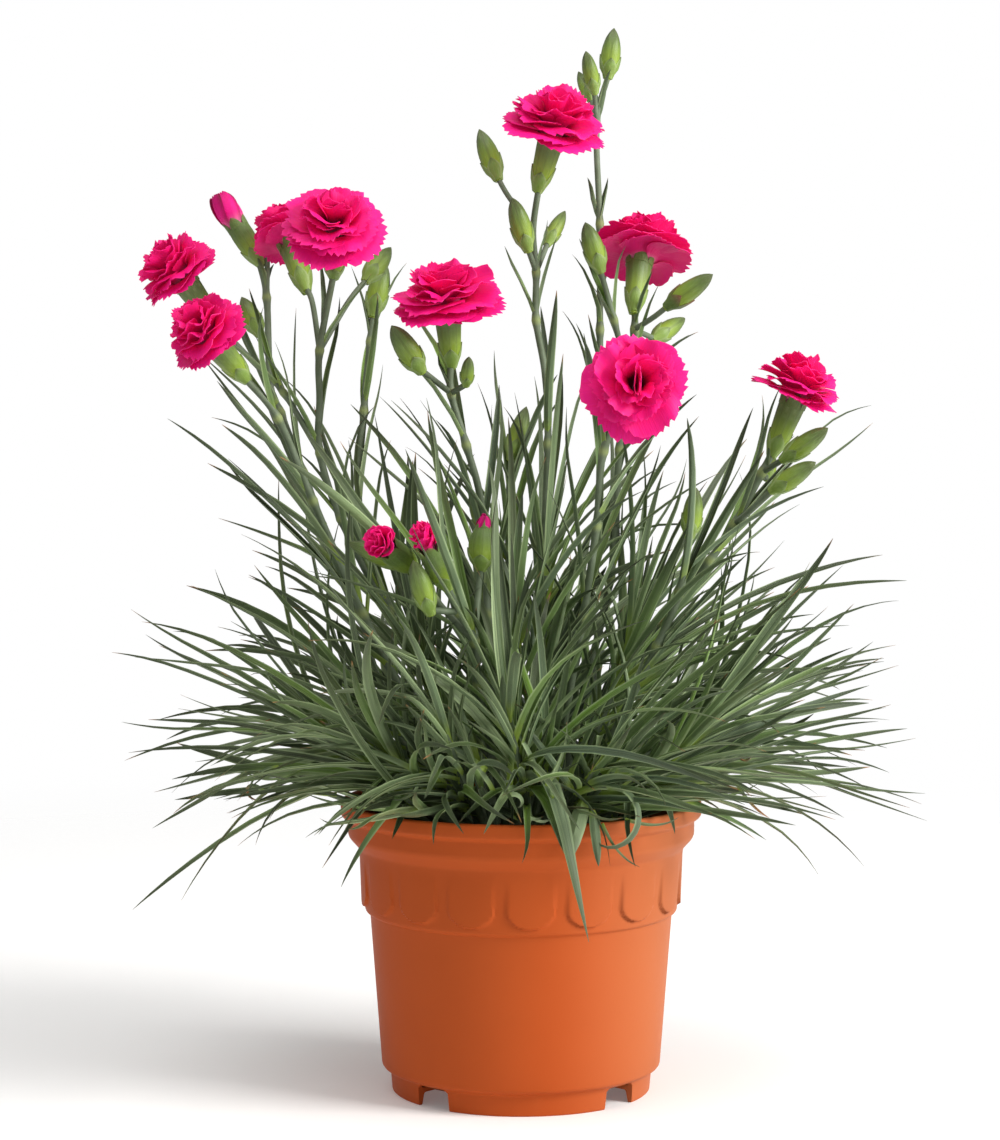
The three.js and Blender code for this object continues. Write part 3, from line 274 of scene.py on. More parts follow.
class Room:  # what is placed so far, so that nothing grows through another thing
    def __init__(self, most):
        self.count = 0
        self.low, self.high = np.zeros((most, 3)), np.zeros((most, 3))
        self.radius, self.isLeaf = np.zeros(most), np.zeros(most, bool)
        self.owners, self.lines = [], []

    def box(self, lines, radius):
        corners = lines.reshape(-1, 3)
        return corners.min(0) - radius, corners.max(0) + radius

    def add(self, owner, lines, radius, isLeaf=False):
        self.low[self.count], self.high[self.count] = self.box(lines, radius)
        self.radius[self.count], self.isLeaf[self.count] = radius, isLeaf
        self.owners.append(owner)
        self.lines.append(lines)
        self.count += 1

    def least(self, owner, lines, radius, isLeaf=False):  # the least room, less both radii
        low, high = self.box(lines, radius)
        near = (self.high[:self.count] >= low - 1).all(1) & (self.low[:self.count] <= high + 1).all(1)
        least = math.inf
        for sisters in (False, True):  # leaves of one stem need room too, but for the part next to the stem
            picked = [i for i in np.flatnonzero(near) if (self.owners[i] == owner) == sisters]
            if sisters:
                picked = [i for i in picked if isLeaf and self.isLeaf[i]]
            if not picked:
                continue
            others = np.concatenate([self.lines[i] for i in picked])
            radii = np.concatenate([np.full(len(self.lines[i]), self.radius[i]) for i in picked])
            skip = 0.3 if sisters else 0
            a, c = mixed(lines[:, 0], lines[:, 1], skip), mixed(others[:, 0], others[:, 1], skip)
            gaps = lineGaps(a[:, None], lines[:, 1][:, None], c[None], others[:, 1][None])
            least = min(least, float((gaps - radius - radii[None]).min()))
        return least


room = Room(most=6000)
clearance = {"insideNeck": 4, "outsideLip": 1.6, "overLip": 1.3, "overSoil": 3, "overFloor": 3}


def clearOfPot(lines):  # tried at six places along each line
    if np.hypot(lines[:, 1, 0], lines[:, 1, 1]).max() > leafRules["reach"]:
        return False
    place = mixed(lines[:, 0], lines[:, 1], np.arange(6)[:, None, None] * 0.2)
    out, height = np.hypot(place[..., 0], place[..., 1]), place[..., 2]
    overLip, overSoil = pot["height"] + clearance["overLip"], soil["surface"] + clearance["overSoil"]
    lowest = np.where(out > pot["neckRadius"] - clearance["insideNeck"], overLip, overSoil)
    inPot = (out < pot["lipRadius"] + clearance["outsideLip"]) & (height < lowest)
    return not ((height < clearance["overFloor"]) | inPot).any()


# Keeps the first drawn leaf that is clear of everything.
def settle(stem, draw, tries, least=leafRules["leastRoom"]):
    for attempt in range(tries):
        leaf = draw(attempt)
        lines = leafLines(leaf)
        if clearOfPot(lines) and room.least(stem["name"], lines, leafRules["halfDepth"], True) > least:
            room.add(stem["name"], lines, leafRules["halfDepth"], True)
            stem["leaves"].append(leaf)
            return


def stemThickness(point, index, swollen):
    size = stalk["radius"] * (stalk["foot"] - (point[2] - soil["surface"]) * stalk["taper"])
    size = size * (stalk["branch"] if index > 0 else 1)
    return size * stalk["joint"] if swollen else size


def footPoints(foot):
    return [(*foot, soil["surface"] - soil["plantingDepth"]), (*foot, soil["surface"] + 2)]


def planStem(name, plan):
    stem = {"name": name, "axes": [], "joints": [], "buds": [], "calyces": [], "leaves": []}
    ends = []
    for index, run in enumerate([plan, *plan.get("branches", [])]):
        start = footPoints(plan["foot"])
        if index > 0 and "of" in run:
            start = [plan["branches"][run["of"]]["route"][run["joint"]]]
        elif index > 0:
            start = [plan["route"][run["at"]]]
        end = run["end"]
        route = [*start, *run["route"], *([end["base"]] if "base" in end else [])]
        points = [vec(*place) for place in route]
        joints = [joint + len(start) for joint in run.get("joints", ())]
        radii = [stemThickness(point, index, i in joints) for i, point in enumerate(points)]
        stem["axes"].append({"points": points, "radii": radii, "joints": joints})
        stem["joints"] += [{"point": points[i], "along": unit(points[i + 1] - points[i - 1])} for i in joints]
        ends.append({**end, "base": points[-1]})
    for end in ends:
        if "bud" in end:
            stem["buds"].append({"base": end["base"], "tip": vec(*end["bud"]), "radius": end["radius"]})
        else:
            stem["calyces"].append({**end, "along": unit(vec(*end["faces"]))})
    return stem


# A shoot rises from its foot and leans out, from one angle round the pot to another.
def shootPoints(foot, reach, height, angle, lean, bends):
    route = footPoints((foot * math.cos(angle), foot * math.sin(angle)))
    for share, rise in bends:
        out, way = foot + (reach - foot) * share, angle + (lean - angle) * share
        top = soil["surface"] + (height - soil["surface"]) * rise
        route.append((out * math.cos(way), out * math.sin(way), top))
    return [vec(*place) for place in route]


def planShoots():
    shoots = []
    stray = shootForm["stray"]
    needed = shootForm["radius"] + shootForm["room"]
    for level, ring in enumerate(shootRings):
        for i in range(ring["count"]):
            for attempt in range(shootForm["tries"]):
                roll = dice(seeds["shoots"] + level * 5000 + i * 400 + attempt)
                turn = ring["turn"] + (i * 360) / ring["count"]
                angle = (turn + spread(roll, stray["turn"][0] + attempt * stray["turn"][1])) * math.pi / 180
                foot = ring["footRadius"] + spread(roll, stray["foot"][0] + attempt * stray["foot"][1])
                reach = ring["reach"] + spread(roll, stray["reach"])
                height = ring["height"] + spread(roll, stray["height"])
                lean = angle + spread(roll, stray["lean"])
                points = shootPoints(foot, reach, height, angle, lean, shootForm["bends"])
                name = f"shoot_{len(shoots) + 1:02d}"
                if room.least(name, polyline(points), needed) > leafRules["leastRoom"]:
                    room.add(name, polyline(points), needed)
                    thinner = [1 - (shootForm["taper"] * k) / (len(points) - 1) for k in range(len(points))]
                    radii = [shootForm["radius"] * share for share in thinner]
                    axis = {"points": points, "radii": radii, "joints": []}
                    shoots.append({"name": name, "pairs": ring["pairs"], "axes": [axis], "leaves": []})
                    break
    return shoots


def axisPoint(points, share):
    place = share * (len(points) - 1)
    i = min(math.floor(place), len(points) - 2)
    return {"point": mixed(points[i], points[i + 1], place - i), "along": unit(points[i + 1] - points[i])}


outlineRules = {"lowest": 0.25, "highest": 0.98, "step": 0.02, "tries": 90, "loose": 0.45, "loosest": 22,
                "sideways": 0.4}


def placeOutlineLeaves(stems):
    stops = []  # every place on a stem, above the soil, that a leaf may grow from
    for stem in stems:
        share = outlineRules["lowest"]
        while share <= outlineRules["highest"]:
            stops.append((stem, axisPoint(stem["axes"][0]["points"], share)["point"]))
            share += outlineRules["step"]
    places = np.array([place for _, place in stops])
    for index, (end, start, arch, *width) in enumerate(outlineLeaves):
        away = places - vec(*start)
        stem, root = stops[int(np.argmin(np.sqrt(dot(away, away))))]

        def draw(attempt):
            roll = dice(seeds["outlineLeaves"] + index * 300 + attempt)
            loose = min(attempt * outlineRules["loose"], outlineRules["loosest"])
            aside = loose * outlineRules["sideways"]
            tip = vec(*end) + vec(spread(roll, aside), spread(roll, loose), spread(roll, aside))
            guide = mixed(root, tip, 0.5)
            guide[2] += arch + abs(spread(roll, loose * 0.5))
            return {"root": root, "guide": guide, "tip": tip, "width": width[0] if width else bladeWidth}

        settle(stem, draw, outlineRules["tries"])


# A leaf that leaves its stem at an angle and bends outward and down with its length.
def drawLeaf(place, angle, opening, length, width, droop):
    along = place["along"]
    side = unit(vec(1, 0, 0) - along * along[0])
    away = side * math.cos(angle) + np.cross(along, side) * math.sin(angle)
    start = opening * leafRules["early"]
    early = along * math.cos(start) + away * math.sin(start)
    late = along * math.cos(opening) + away * math.sin(opening)
    tip = place["point"] + late * length
    tip[2] = max(tip[2] - droop * length, leafRules["lowestTip"])
    guide = place["point"] + early * (length * 0.5)
    return {"root": place["point"], "guide": guide, "tip": tip, "width": width}


def pairTurn(pair, side):  # each pair stands across the one below it
    return pair * 1.57 + side * 3.14


# Long leaves at the joints between two heights: their length falls with the height, and they are slimmer too.
jointLeaf = {"above": 150, "below": 262, "length": 98, "longestAt": 118, "fall": 0.5, "shortest": 11,
             "opening": 0.3, "width": 2.2, "widening": 0.022, "droop": 0.02, "shrink": 0.004, "tries": 70}


def placeJointLeaves(stems):
    for index, stem in enumerate(stems):
        for number, joint in enumerate(stem["joints"]):
            height = joint["point"][2]
            for side in range(2 if jointLeaf["above"] < height < jointLeaf["below"] else 0):

                def draw(attempt):
                    roll = dice(seeds["jointLeaves"] + index * 6000 + number * 400 + side * 180 + attempt)
                    angle = pairTurn(number, side) + index + spread(roll, 0.3 + attempt * 0.04)
                    opening = jointLeaf["opening"] + spread(roll, 0.1) + attempt * jointLeaf["shrink"]
                    full = jointLeaf["length"] - (height - jointLeaf["longestAt"]) * jointLeaf["fall"]
                    length = max(full, jointLeaf["shortest"]) * (0.9 + roll() * 0.2)
                    length = length * (1 - attempt * jointLeaf["shrink"])
                    width = min(jointLeaf["width"] + length * jointLeaf["widening"], bladeWidth)
                    return drawLeaf(joint, angle, opening, length, width, jointLeaf["droop"] + roll() * 0.05)

                settle(stem, draw, jointLeaf["tries"])


# Leaves of the shoots: the low ones open wide, the top ones stand up.
shootLeaf = {"lowest": 0.34, "span": 0.64, "opening": 1.15, "rising": 0.75, "length": 78, "longer": 26,
             "differs": 12, "width": 0.92, "droop": 0.06, "shrink": 0.004, "tries": 70}


def placeShootLeaves(shoots):
    for pair in range(max(ring["pairs"] for ring in shootRings)):
        for index, shoot in enumerate(shoots):
            for side in range(2 if pair < shoot["pairs"] else 0):
                height = (pair + 0.5) / shoot["pairs"]
                share = shootLeaf["lowest"] + (shootLeaf["span"] * (pair + 0.5)) / shoot["pairs"]
                place = axisPoint(shoot["axes"][0]["points"], share)

                def draw(attempt):
                    roll = dice(seeds["shootLeaves"] + index * 4000 + pair * 300 + side * 150 + attempt)
                    angle = pairTurn(pair, side) + index * 0.8 + spread(roll, 0.25 + attempt * 0.05)
                    opening = shootLeaf["opening"] - height * shootLeaf["rising"]
                    opening = opening + spread(roll, 0.15 + attempt * 0.008)
                    full = shootLeaf["length"] + shootLeaf["longer"] * math.sin(height * 2.6)
                    length = (full + spread(roll, shootLeaf["differs"])) * (1 - attempt * shootLeaf["shrink"])
                    width = bladeWidth * (shootLeaf["width"] + roll() * 0.16)
                    return drawLeaf(place, angle, opening, length, width, shootLeaf["droop"] + roll() * 0.14)

                settle(shoot, draw, shootLeaf["tries"])


stems = [planStem(f"flower_stem_{i + 1:02d}", plan) for i, plan in enumerate(flowerStems)]
for stem in stems:
    for axis in stem["axes"]:
        room.add(stem["name"], polyline(axis["points"]), stalk["radius"] * stalk["room"])
    for closed in stem["buds"]:
        room.add(stem["name"], np.array([[closed["base"], closed["tip"]]]), closed["radius"])
    for bloom in stem["calyces"]:
        mouth = bloom["base"] + bloom["along"] * calyx["length"]
        room.add(stem["name"], np.array([[bloom["base"], mouth]]), calyx["mouthRadius"])
        petals = np.array([[mouth + bloom["along"] * 3, mouth + bloom["along"] * 12]])
        room.add(stem["name"] + " bloom", petals, bloom["radius"] + 0.5)
room.add("rootstock", np.array([[vec(0, 0, 60), vec(0, 0, 90)]]), 3.7)
shoots = planShoots()
placeOutlineLeaves([*shoots, *stems])
placeJointLeaves(stems)
placeShootLeaves(shoots)
print("layout planned:", len(shoots), "shoots,", len(stems), "stems,",
      sum(len(stem["leaves"]) for stem in [*shoots, *stems]), "leaves")

# Shorter shoots between the others, and more pairs of leaves on all, fill the tuft. They may touch a little.
fill = {"shoots": 54, "radius": 1.5, "taper": 0.12, "bends": ((0.3, 0.4), (0.7, 0.72), (1, 1)), "room": -0.35,
        "innermost": 6, "ringWidth": 29, "angle": 137.5, "reach": 8, "height": 112, "shootTries": 60,
        "pairs": 8, "morePairs": 12, "opening": 1.2, "length": 56, "width": 0.7, "lowestTip": 104,
        "tries": 22}


def planFillers():
    made = []
    for i in range(fill["shoots"]):
        for attempt in range(fill["shootTries"]):
            roll = dice(seeds["fillers"] + i * 100 + attempt)
            angle = (i * fill["angle"] + spread(roll, 20)) * math.pi / 180
            foot = fill["innermost"] + fill["ringWidth"] * math.sqrt((i + roll()) / fill["shoots"])
            reach = foot + fill["reach"] + roll() * 16 + foot * 0.5
            height = fill["height"] + roll() * 26 - foot * 0.3
            points = shootPoints(foot, reach, height, angle, angle, fill["bends"])
            name = f"filler_{len(made) + 1:02d}"
            if room.least(name, polyline(points), fill["radius"]) > fill["room"]:
                room.add(name, polyline(points), fill["radius"])
                radii = [fill["radius"] * (1 - fill["taper"] * k) for k in range(len(points))]
                axis = {"points": points, "radii": radii, "joints": []}
                made.append({"name": name, "axes": [axis], "leaves": []})
                break
    return made


def fillLeaves(shoots, pairs, seed):
    for index, shoot in enumerate(shoots):
        for pair in range(pairs):
            height = (pair + 0.3) / pairs
            place = axisPoint(shoot["axes"][0]["points"], 0.3 + 0.66 * height)
            for side in range(2):

                def draw(attempt):
                    roll = dice(seed + index * 2000 + pair * 200 + side * 100 + attempt)
                    angle = pair * 1.57 + 0.8 + side * 3.14 + index * 1.3 + spread(roll, 0.4 + attempt * 0.08)
                    opening = max(fill["opening"] - height + spread(roll, 0.22 + attempt * 0.02), 0.06)
                    length = (fill["length"] + 42 * roll() + 12 * height) * (1 - attempt * 0.025)
                    width = bladeWidth * (fill["width"] + roll() * 0.3)
                    leaf = drawLeaf(place, angle, opening, length, width, 0.05 + roll() * 0.15)
                    leaf["tip"][2] = max(leaf["tip"][2], fill["lowestTip"] - 6 * roll())
                    return leaf

                settle(shoot, draw, fill["tries"], fill["room"])


fillers = planFillers()
fillLeaves(fillers, fill["pairs"], seeds["fillerLeaves"])
fillLeaves(shoots, fill["morePairs"], seeds["moreLeaves"])
print("filled with:", len(fillers), "short shoots,",
      sum(len(stem["leaves"]) for stem in [*shoots, *stems, *fillers]), "leaves in all")


class Growth:  # the lofted forms of one piece, gathered in millimetres
    def __init__(self):
        self.points, self.marks, self.faces, self.looks, self.count = [], [], [], [], 0

    # Rings of points, each a closed loop, joined in order. Marks give along, across, tone, under and depth.
    def loft(self, rings, marks, look=0):
        rows, columns = rings.shape[:2]
        ids = self.count + np.arange(rows * columns).reshape(rows, columns)
        after = np.roll(ids, -1, axis=1)
        quads = np.stack([ids[:-1], after[:-1], after[1:], ids[1:]], -1).reshape(-1, 4)
        made = quads.tolist()
        for row in (ids[0][::-1], ids[-1]):  # a strip closes each end
            for k in range(columns // 2 - 1):
                made.append([row[k], row[k + 1], row[-k - 2], row[-k - 1]])
            if columns % 2:
                made.append([row[columns // 2 - 1], row[columns // 2], row[columns // 2 + 1]])
        self.points.append(rings.reshape(-1, 3))
        self.marks.append(np.broadcast_to(marks, (rows, columns, 5)).reshape(-1, 5))
        self.faces += made
        self.looks += [look] * len(made)
        self.count += rows * columns

    def piece(self, name, looks, slot, node, sharp=38):
        mesh = bpy.data.meshes.new(name)
        points = np.concatenate(self.points) * millimetre
        mesh.from_pydata(points.tolist(), [], self.faces)
        marks = np.concatenate(self.marks)
        for i, mark in enumerate(("along", "across", "tone", "under", "depth")):
            layer = mesh.attributes.new(mark, "FLOAT", "POINT")
            layer.data.foreach_set("value", marks[:, i].astype(np.float32))
        for look in looks:
            mesh.materials.append(look)
        mesh.polygons.foreach_set("material_index", self.looks)
        mesh.polygons.foreach_set("use_smooth", [True] * len(self.faces))
        mesh.update()
        mesh.validate()
        mesh.set_sharp_from_angle(angle=math.radians(sharp))
        made = bpy.data.objects.new(name, mesh)
        bpy.context.scene.collection.objects.link(made)
        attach(made, "root")
        if node:
            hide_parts(node)
        return made


def marksFor(along, across, tone, under=0.0, depth=0.0):
    shape = np.broadcast(along, across, tone, under, depth).shape
    return np.stack([np.broadcast_to(part, shape) for part in (along, across, tone, under, depth)], -1)


def smoothStep(low, high, value):
    t = np.clip((value - low) / (high - low), 0, 1)
    return t * t * (3 - 2 * t)


# A smooth line through the points, with the radii carried along.
def smoothLine(points, radii, steps):
    points = [points[0] * 2 - points[1], *points, points[-1] * 2 - points[-2]]
    places, sizes = [], []
    for i in range(1, len(points) - 2):
        a, b, c, d = points[i - 1:i + 3]
        for k in range(steps + (i == len(points) - 3)):
            t = k / steps
            square, cube = a * 2 - b * 5 + c * 4 - d, b * 3 - a - c * 3 + d
            bend = (b * 2 + (c - a) * t + square * t * t + cube * t ** 3) / 2
            places.append(bend)
            sizes.append(radii[i - 1] + (radii[i] - radii[i - 1]) * t)
    return np.array(places), np.array(sizes)


def framesAlong(places):  # directions along, across and up, carried without twist
    after = np.vstack([places[1:], places[-1:] * 2 - places[-2:-1]])
    ahead = after - np.vstack([places[:1] * 2 - places[1:2], places[:-1]])
    along = ahead / np.linalg.norm(ahead, axis=1)[:, None]
    start = vec(0, 1, 0) if abs(along[0][1]) < 0.8 else vec(1, 0, 0)
    across = []
    for way in along:
        start = unit(start - way * dot(start, way))
        across.append(start)
    across = np.array(across)
    return along, across, np.cross(along, across)


def roundRings(places, radii, sides, lumps=None):  # circles round a line; lumps scales each point's radius
    _, across, up = framesAlong(places)
    angle = np.arange(sides) * 2 * math.pi / sides
    size = np.broadcast_to(radii[:, None], (len(places), sides)) * (1 if lumps is None else lumps)
    wide, high = (np.cos(angle) * size)[..., None], (np.sin(angle) * size)[..., None]
    return places[:, None] + across[:, None] * wide + up[:, None] * high


def heightMark(places):  # 0 at the soil, 1 at the highest flowers
    return np.clip((places[:, 2] - soil["surface"]) / 260, 0, 1)[:, None]


# Even noise in a plane, from a grid of seeded random heights, smoothly joined.
def softNoise(x, y, seed):
    size = 64
    chance = np.random.default_rng(seed).random((size, size))
    i, j = np.floor(x).astype(int), np.floor(y).astype(int)
    fx, fy = smoothStep(0, 1, x - i), smoothStep(0, 1, y - j)

    def corner(p, q):
        return chance[p % size, q % size]

    low = corner(i, j) * (1 - fx) + corner(i + 1, j) * fx
    high = corner(i, j + 1) * (1 - fx) + corner(i + 1, j + 1) * fx
    return (low * (1 - fy) + high * fy) * 2 - 1


# The collar gets close rows for its tongues, the rest only what it needs. A tongue's edge rises over the
# first part of a millimetre, and painted shade, a dark line, lies along its left side, turned from the light.
potForm = {"tongueColumns": 26, "collarGap": 0.55, "wallGap": 9, "onWall": 0.25, "tongueRound": 0.72,
           "edge": (-0.1, 0.3), "grooveAt": 0.1, "grooveWidth": 0.6, "notchBevel": 1.2, "notchReach": 8,
           "cutBelow": 5, "drainSides": 24, "drainCut": 12, "sharp": 40}


def potProfile():
    p = pot
    inside, inFloor = p["wall"], p["floorHeight"] + p["floorThickness"]
    corners = [  # radius, height, rounding
        (0, 0, 0), (p["padRadius"], 0, 0.8), (p["padRadius"] + 1.5, p["floorHeight"], 0.8),
        (p["footRadius"] - 2.4, p["floorHeight"], 0.8), (p["footRadius"] - 1.6, 0, 0.35),
        (p["footRadius"], 0, 0.6), (p["footRadius"] + 0.6, p["notchHeight"], 1.2),
        (p["bodyFootRadius"], p["bodyFootHeight"], 1.1),
        (p["bodyRadius"], p["stepHeight"] - 0.8, 0.35), (p["stepRadius"], p["stepHeight"], 0.7),
        (p["neckRadius"], p["neckHeight"], 0.9), (p["bandRadius"], p["neckHeight"] + 4, 1.3),
        (p["bandRadius"], p["lipFoot"], 0.4), (p["lipRadius"], p["lipFoot"] + 1.4, 0.8),
        (p["lipRadius"], p["height"], 0.9), (p["lipRadius"] - 2.2, p["height"], 0.8),
        (p["bandRadius"] - inside, p["height"] - 3, 0.8),
        (p["bandRadius"] - inside, p["neckHeight"] + 4.6, 1),
        (p["neckRadius"] - inside, p["neckHeight"] + 0.6, 1),
        (p["bodyFootRadius"] - inside, p["bodyFootHeight"] + 1, 0),
        (p["footRadius"] - inside, inFloor, 1), (0, inFloor, 0),
    ]
    line = []
    for i, (radius, height, rounding) in enumerate(corners):
        here = np.array([radius, height], float)
        if rounding == 0:
            line.append(here)
            continue
        before = here - np.array(corners[i - 1][:2], float)
        after = np.array(corners[i + 1][:2], float) - here
        a = here - before / np.hypot(*before) * min(rounding, np.hypot(*before) * 0.45)
        b = here + after / np.hypot(*after) * min(rounding, np.hypot(*after) * 0.45)
        for t in (0, 0.33, 0.67, 1):
            line.append(a * (1 - t) ** 2 + here * 2 * t * (1 - t) + b * t * t)
    full = [line[0]]
    for point in line[1:]:
        start = full[-1]
        onCollar = start[1] >= p["stepHeight"] - 0.5 and point[1] <= p["neckHeight"] + 1
        collar = onCollar and point[0] > p["bodyRadius"]
        gap = potForm["collarGap"] if collar else potForm["wallGap"]
        count = max(1, math.ceil(np.hypot(*(point - start)) / gap))
        full += [mixed(start, point, (k + 1) / count) for k in range(count)]
    return np.array(full)


def cutAway(target, cutters):  # cuts the cutters from the target and bakes the result into its mesh
    for cutter in cutters:
        cut = target.modifiers.new("cut", "BOOLEAN")
        cut.operation, cut.solver, cut.object = "DIFFERENCE", "EXACT", cutter
    bpy.context.view_layer.update()
    baked = bpy.data.meshes.new_from_object(target.evaluated_get(bpy.context.evaluated_depsgraph_get()))
    target.modifiers.clear()
    target.data = baked
    for cutter in cutters:
        bpy.data.objects.remove(cutter)


# How much a tongue stands out at each place of the wall, and how strong the painted shade along its edge is
# there.
def tongueRelief(radius, height, angle):
    p = pot
    step = 2 * math.pi / p["tongues"]
    # Tongues are counted from the front.
    local = (angle - math.radians(p["turn"]) + math.pi / 2 + step / 2) % step - step / 2
    half, rise = p["tongueWidth"] / 2, p["tongueWidth"] / 2 * potForm["tongueRound"]
    low = np.clip((p["tongueBottom"] + rise - height) / rise, 0, 2)
    edge = half - np.sqrt((local[None] * radius) ** 2 + (low * half) ** 2)
    share = np.clip((p["tongueTop"] - height) / (p["tongueTop"] - p["tongueBottom"]), 0, 1.1)
    slope = (p["neckRadius"] - p["stepRadius"]) / (p["neckHeight"] - p["stepHeight"])
    outside = (radius > p["bodyRadius"]) & (height < p["neckHeight"])
    away = np.abs(radius - p["stepRadius"] - (height - p["stepHeight"]) * slope)
    onWall = outside & (away < potForm["onWall"])
    proud = np.where(onWall, p["tongueProud"] * share * smoothStep(*potForm["edge"], edge), 0)
    # painted shade: a dark line along the tongue's left edge, which faces away from the light
    groove = np.exp(-((edge - potForm["grooveAt"]) / potForm["grooveWidth"]) ** 2)
    groove = groove * smoothStep(0, step / 8, -local)
    return proud, np.clip(np.where(onWall, share * groove, 0), 0, 1)


def notchCutters():  # a notch is narrower above, with its corners taken off
    p = pot
    wide, high, bevel = p["notchWidth"] / 2, p["notchHeight"], potForm["notchBevel"]
    half = [(wide + 0.5, -potForm["cutBelow"]), (wide, high - bevel), (wide - bevel, high)]
    outline = [(-half[0][0], half[0][1]), *half, (-half[2][0], half[2][1]), (-half[1][0], half[1][1])]
    for quarter in range(4):
        way = math.radians(p["turn"]) + math.pi / 4 + quarter * math.pi / 2
        ahead, aside = vec(math.cos(way), math.sin(way), 0), vec(-math.sin(way), math.cos(way), 0)
        yield plainCutter(np.array([[ahead * out + aside * x + vec(0, 0, z) for x, z in outline]
                                    for out in (p["footRadius"] - potForm["notchReach"],
                                                p["footRadius"] + potForm["notchReach"])]))


def drainCutters():
    for i in range(pot["drains"]):
        way = math.radians(pot["turn"]) + (i + 0.5) * 2 * math.pi / pot["drains"]
        middle = vec(pot["drainRing"] * math.cos(way), pot["drainRing"] * math.sin(way), 0)
        line = np.array([middle, middle + vec(0, 0, potForm["drainCut"])])
        yield plainCutter(roundRings(line, np.full(2, pot["drainRadius"]), potForm["drainSides"]))


def buildPot(looks):
    profile = potProfile()[1:-1]
    columns = pot["tongues"] * potForm["tongueColumns"]
    angle = np.arange(columns) * 2 * math.pi / columns
    radius, height = np.repeat(profile[:, 0:1], columns, 1), np.repeat(profile[:, 1:2], columns, 1)
    proud, groove = tongueRelief(radius, height, angle)
    radius = radius + proud
    shell = Growth()
    rings = np.stack([radius * np.cos(angle), radius * np.sin(angle), height], -1)
    # The depth mark carries the tongues' painted shade.
    shell.loft(rings, marksFor(height / pot["height"], 0.0, 0.5, 0.0, groove))
    made = shell.piece("plastic_pot", looks, "terracotta_plastic", "pot", 50)
    cutAway(made, [*notchCutters(), *drainCutters()])
    made.data.set_sharp_from_angle(angle=math.radians(potForm["sharp"]))


def plainCutter(rings):
    cutter = Growth()
    cutter.loft(rings, marksFor(0.0, 0.0, 0.0))
    mesh = bpy.data.meshes.new("cutter")
    mesh.from_pydata((cutter.points[0] * millimetre).tolist(), [], cutter.faces)
    made = bpy.data.objects.new("cutter", mesh)
    bpy.context.scene.collection.objects.link(made)
    return made


# The compost dips a little at its edge. Its lumps come in three sizes, each with its share of the roughness.
compost = {"rough": 1.5, "dip": 1.4, "dipRings": 20, "rings": 46, "columns": 150,
           "lumps": ((7, 0.5), (2.6, 0.32), (1.2, 0.18)),
           "bits": 420, "bitLength": 5.5, "fibres": 0.45, "seed": 11}


def compostProfile(rim, gap):  # up the wall, then in over the top
    p = pot
    low = p["floorHeight"] + p["floorThickness"] + soil["gap"]
    wall = [(0.5, low), (p["footRadius"] - p["wall"] - gap - 0.4, low),
            (p["bodyFootRadius"] - p["wall"] - gap - 0.4, p["bodyFootHeight"] + 1.2),
            (p["neckRadius"] - p["wall"] - gap, p["neckHeight"] + 0.6),
            (rim, p["neckHeight"] + 4.6), (rim, soil["surface"] - compost["dip"])]
    inward = [(rim * (1 - k / compost["rings"]),
               soil["surface"] - compost["dip"] + compost["dip"] * min(k / compost["dipRings"], 1))
              for k in range(1, compost["rings"])]
    return np.array(wall + inward, float), len(wall)


def buildCompost(looks):
    gap = soil["gap"] + 0.25
    rim = pot["bandRadius"] - pot["wall"] - gap - 0.6
    profile, wallRows = compostProfile(rim, gap)
    columns = compost["columns"]
    angle = np.arange(columns) * 2 * math.pi / columns
    radius, height = np.repeat(profile[:, :1], columns, 1), np.repeat(profile[:, 1:], columns, 1)
    x, y = radius * np.cos(angle), radius * np.sin(angle)
    bump = 0
    for seed, (size, share) in enumerate(compost["lumps"], 1):
        bump = bump + softNoise(x / size, y / size, seed) * share
    onTop = (np.arange(len(profile)) >= wallRows)[:, None]
    height = height + np.where(onTop, (bump - 0.15) * compost["rough"], 0)
    body = Growth()
    body.loft(np.stack([x, y, height], -1), marksFor(height / 100, bump, 0.3))
    rng = np.random.default_rng(compost["seed"])
    for _ in range(compost["bits"]):  # chips and fibres lie on top
        out, way = rim * math.sqrt(rng.random()) * 0.97, rng.random() * 2 * math.pi
        spot = vec(out * math.cos(way), out * math.sin(way), soil["surface"] + rng.uniform(-0.9, 0.7))
        facing = rng.random() * 2 * math.pi
        fibre = rng.random() < compost["fibres"]
        length = compost["bitLength"] * rng.uniform(0.5, 1.5 if fibre else 0.8)
        thick = rng.uniform(0.18, 0.35) if fibre else rng.uniform(0.6, 1.5)
        run = vec(math.cos(facing), math.sin(facing), rng.uniform(-0.15, 0.15)) * length
        bend = vec(-math.sin(facing), math.cos(facing), 0.3) * rng.uniform(-0.2, 0.2) * length
        places = np.array([spot - run / 2, spot + bend, spot + run / 2])
        if np.hypot(places[:, 0], places[:, 1]).max() > rim - 0.5:
            continue
        sides = 4 if fibre else 5
        rings = roundRings(places, np.array([0.5, 1, 0.4]) * thick, sides, rng.uniform(0.7, 1.2, (3, sides)))
        rings[..., 2] = spot[2] + (rings[..., 2] - spot[2]) * (1 if fibre else 0.6)
        body.loft(rings, marksFor(0.9, rng.uniform(-1, 1), rng.random(), 1.0))
    body.piece("potting_compost", looks, "compost", "compost", 60)


# The woody base: its radius at some heights, from the taproot's tip to the head, and the ridges down it.
taproot = {"heights": (46, 62, 84, 87.5, 90.5), "radii": (0.25, 1.6, 2.9, 3.7, 2.3), "rows": 26, "sides": 22,
           "lump": 0.07, "ridges": 7, "ridge": 0.04, "sway": 0.15}


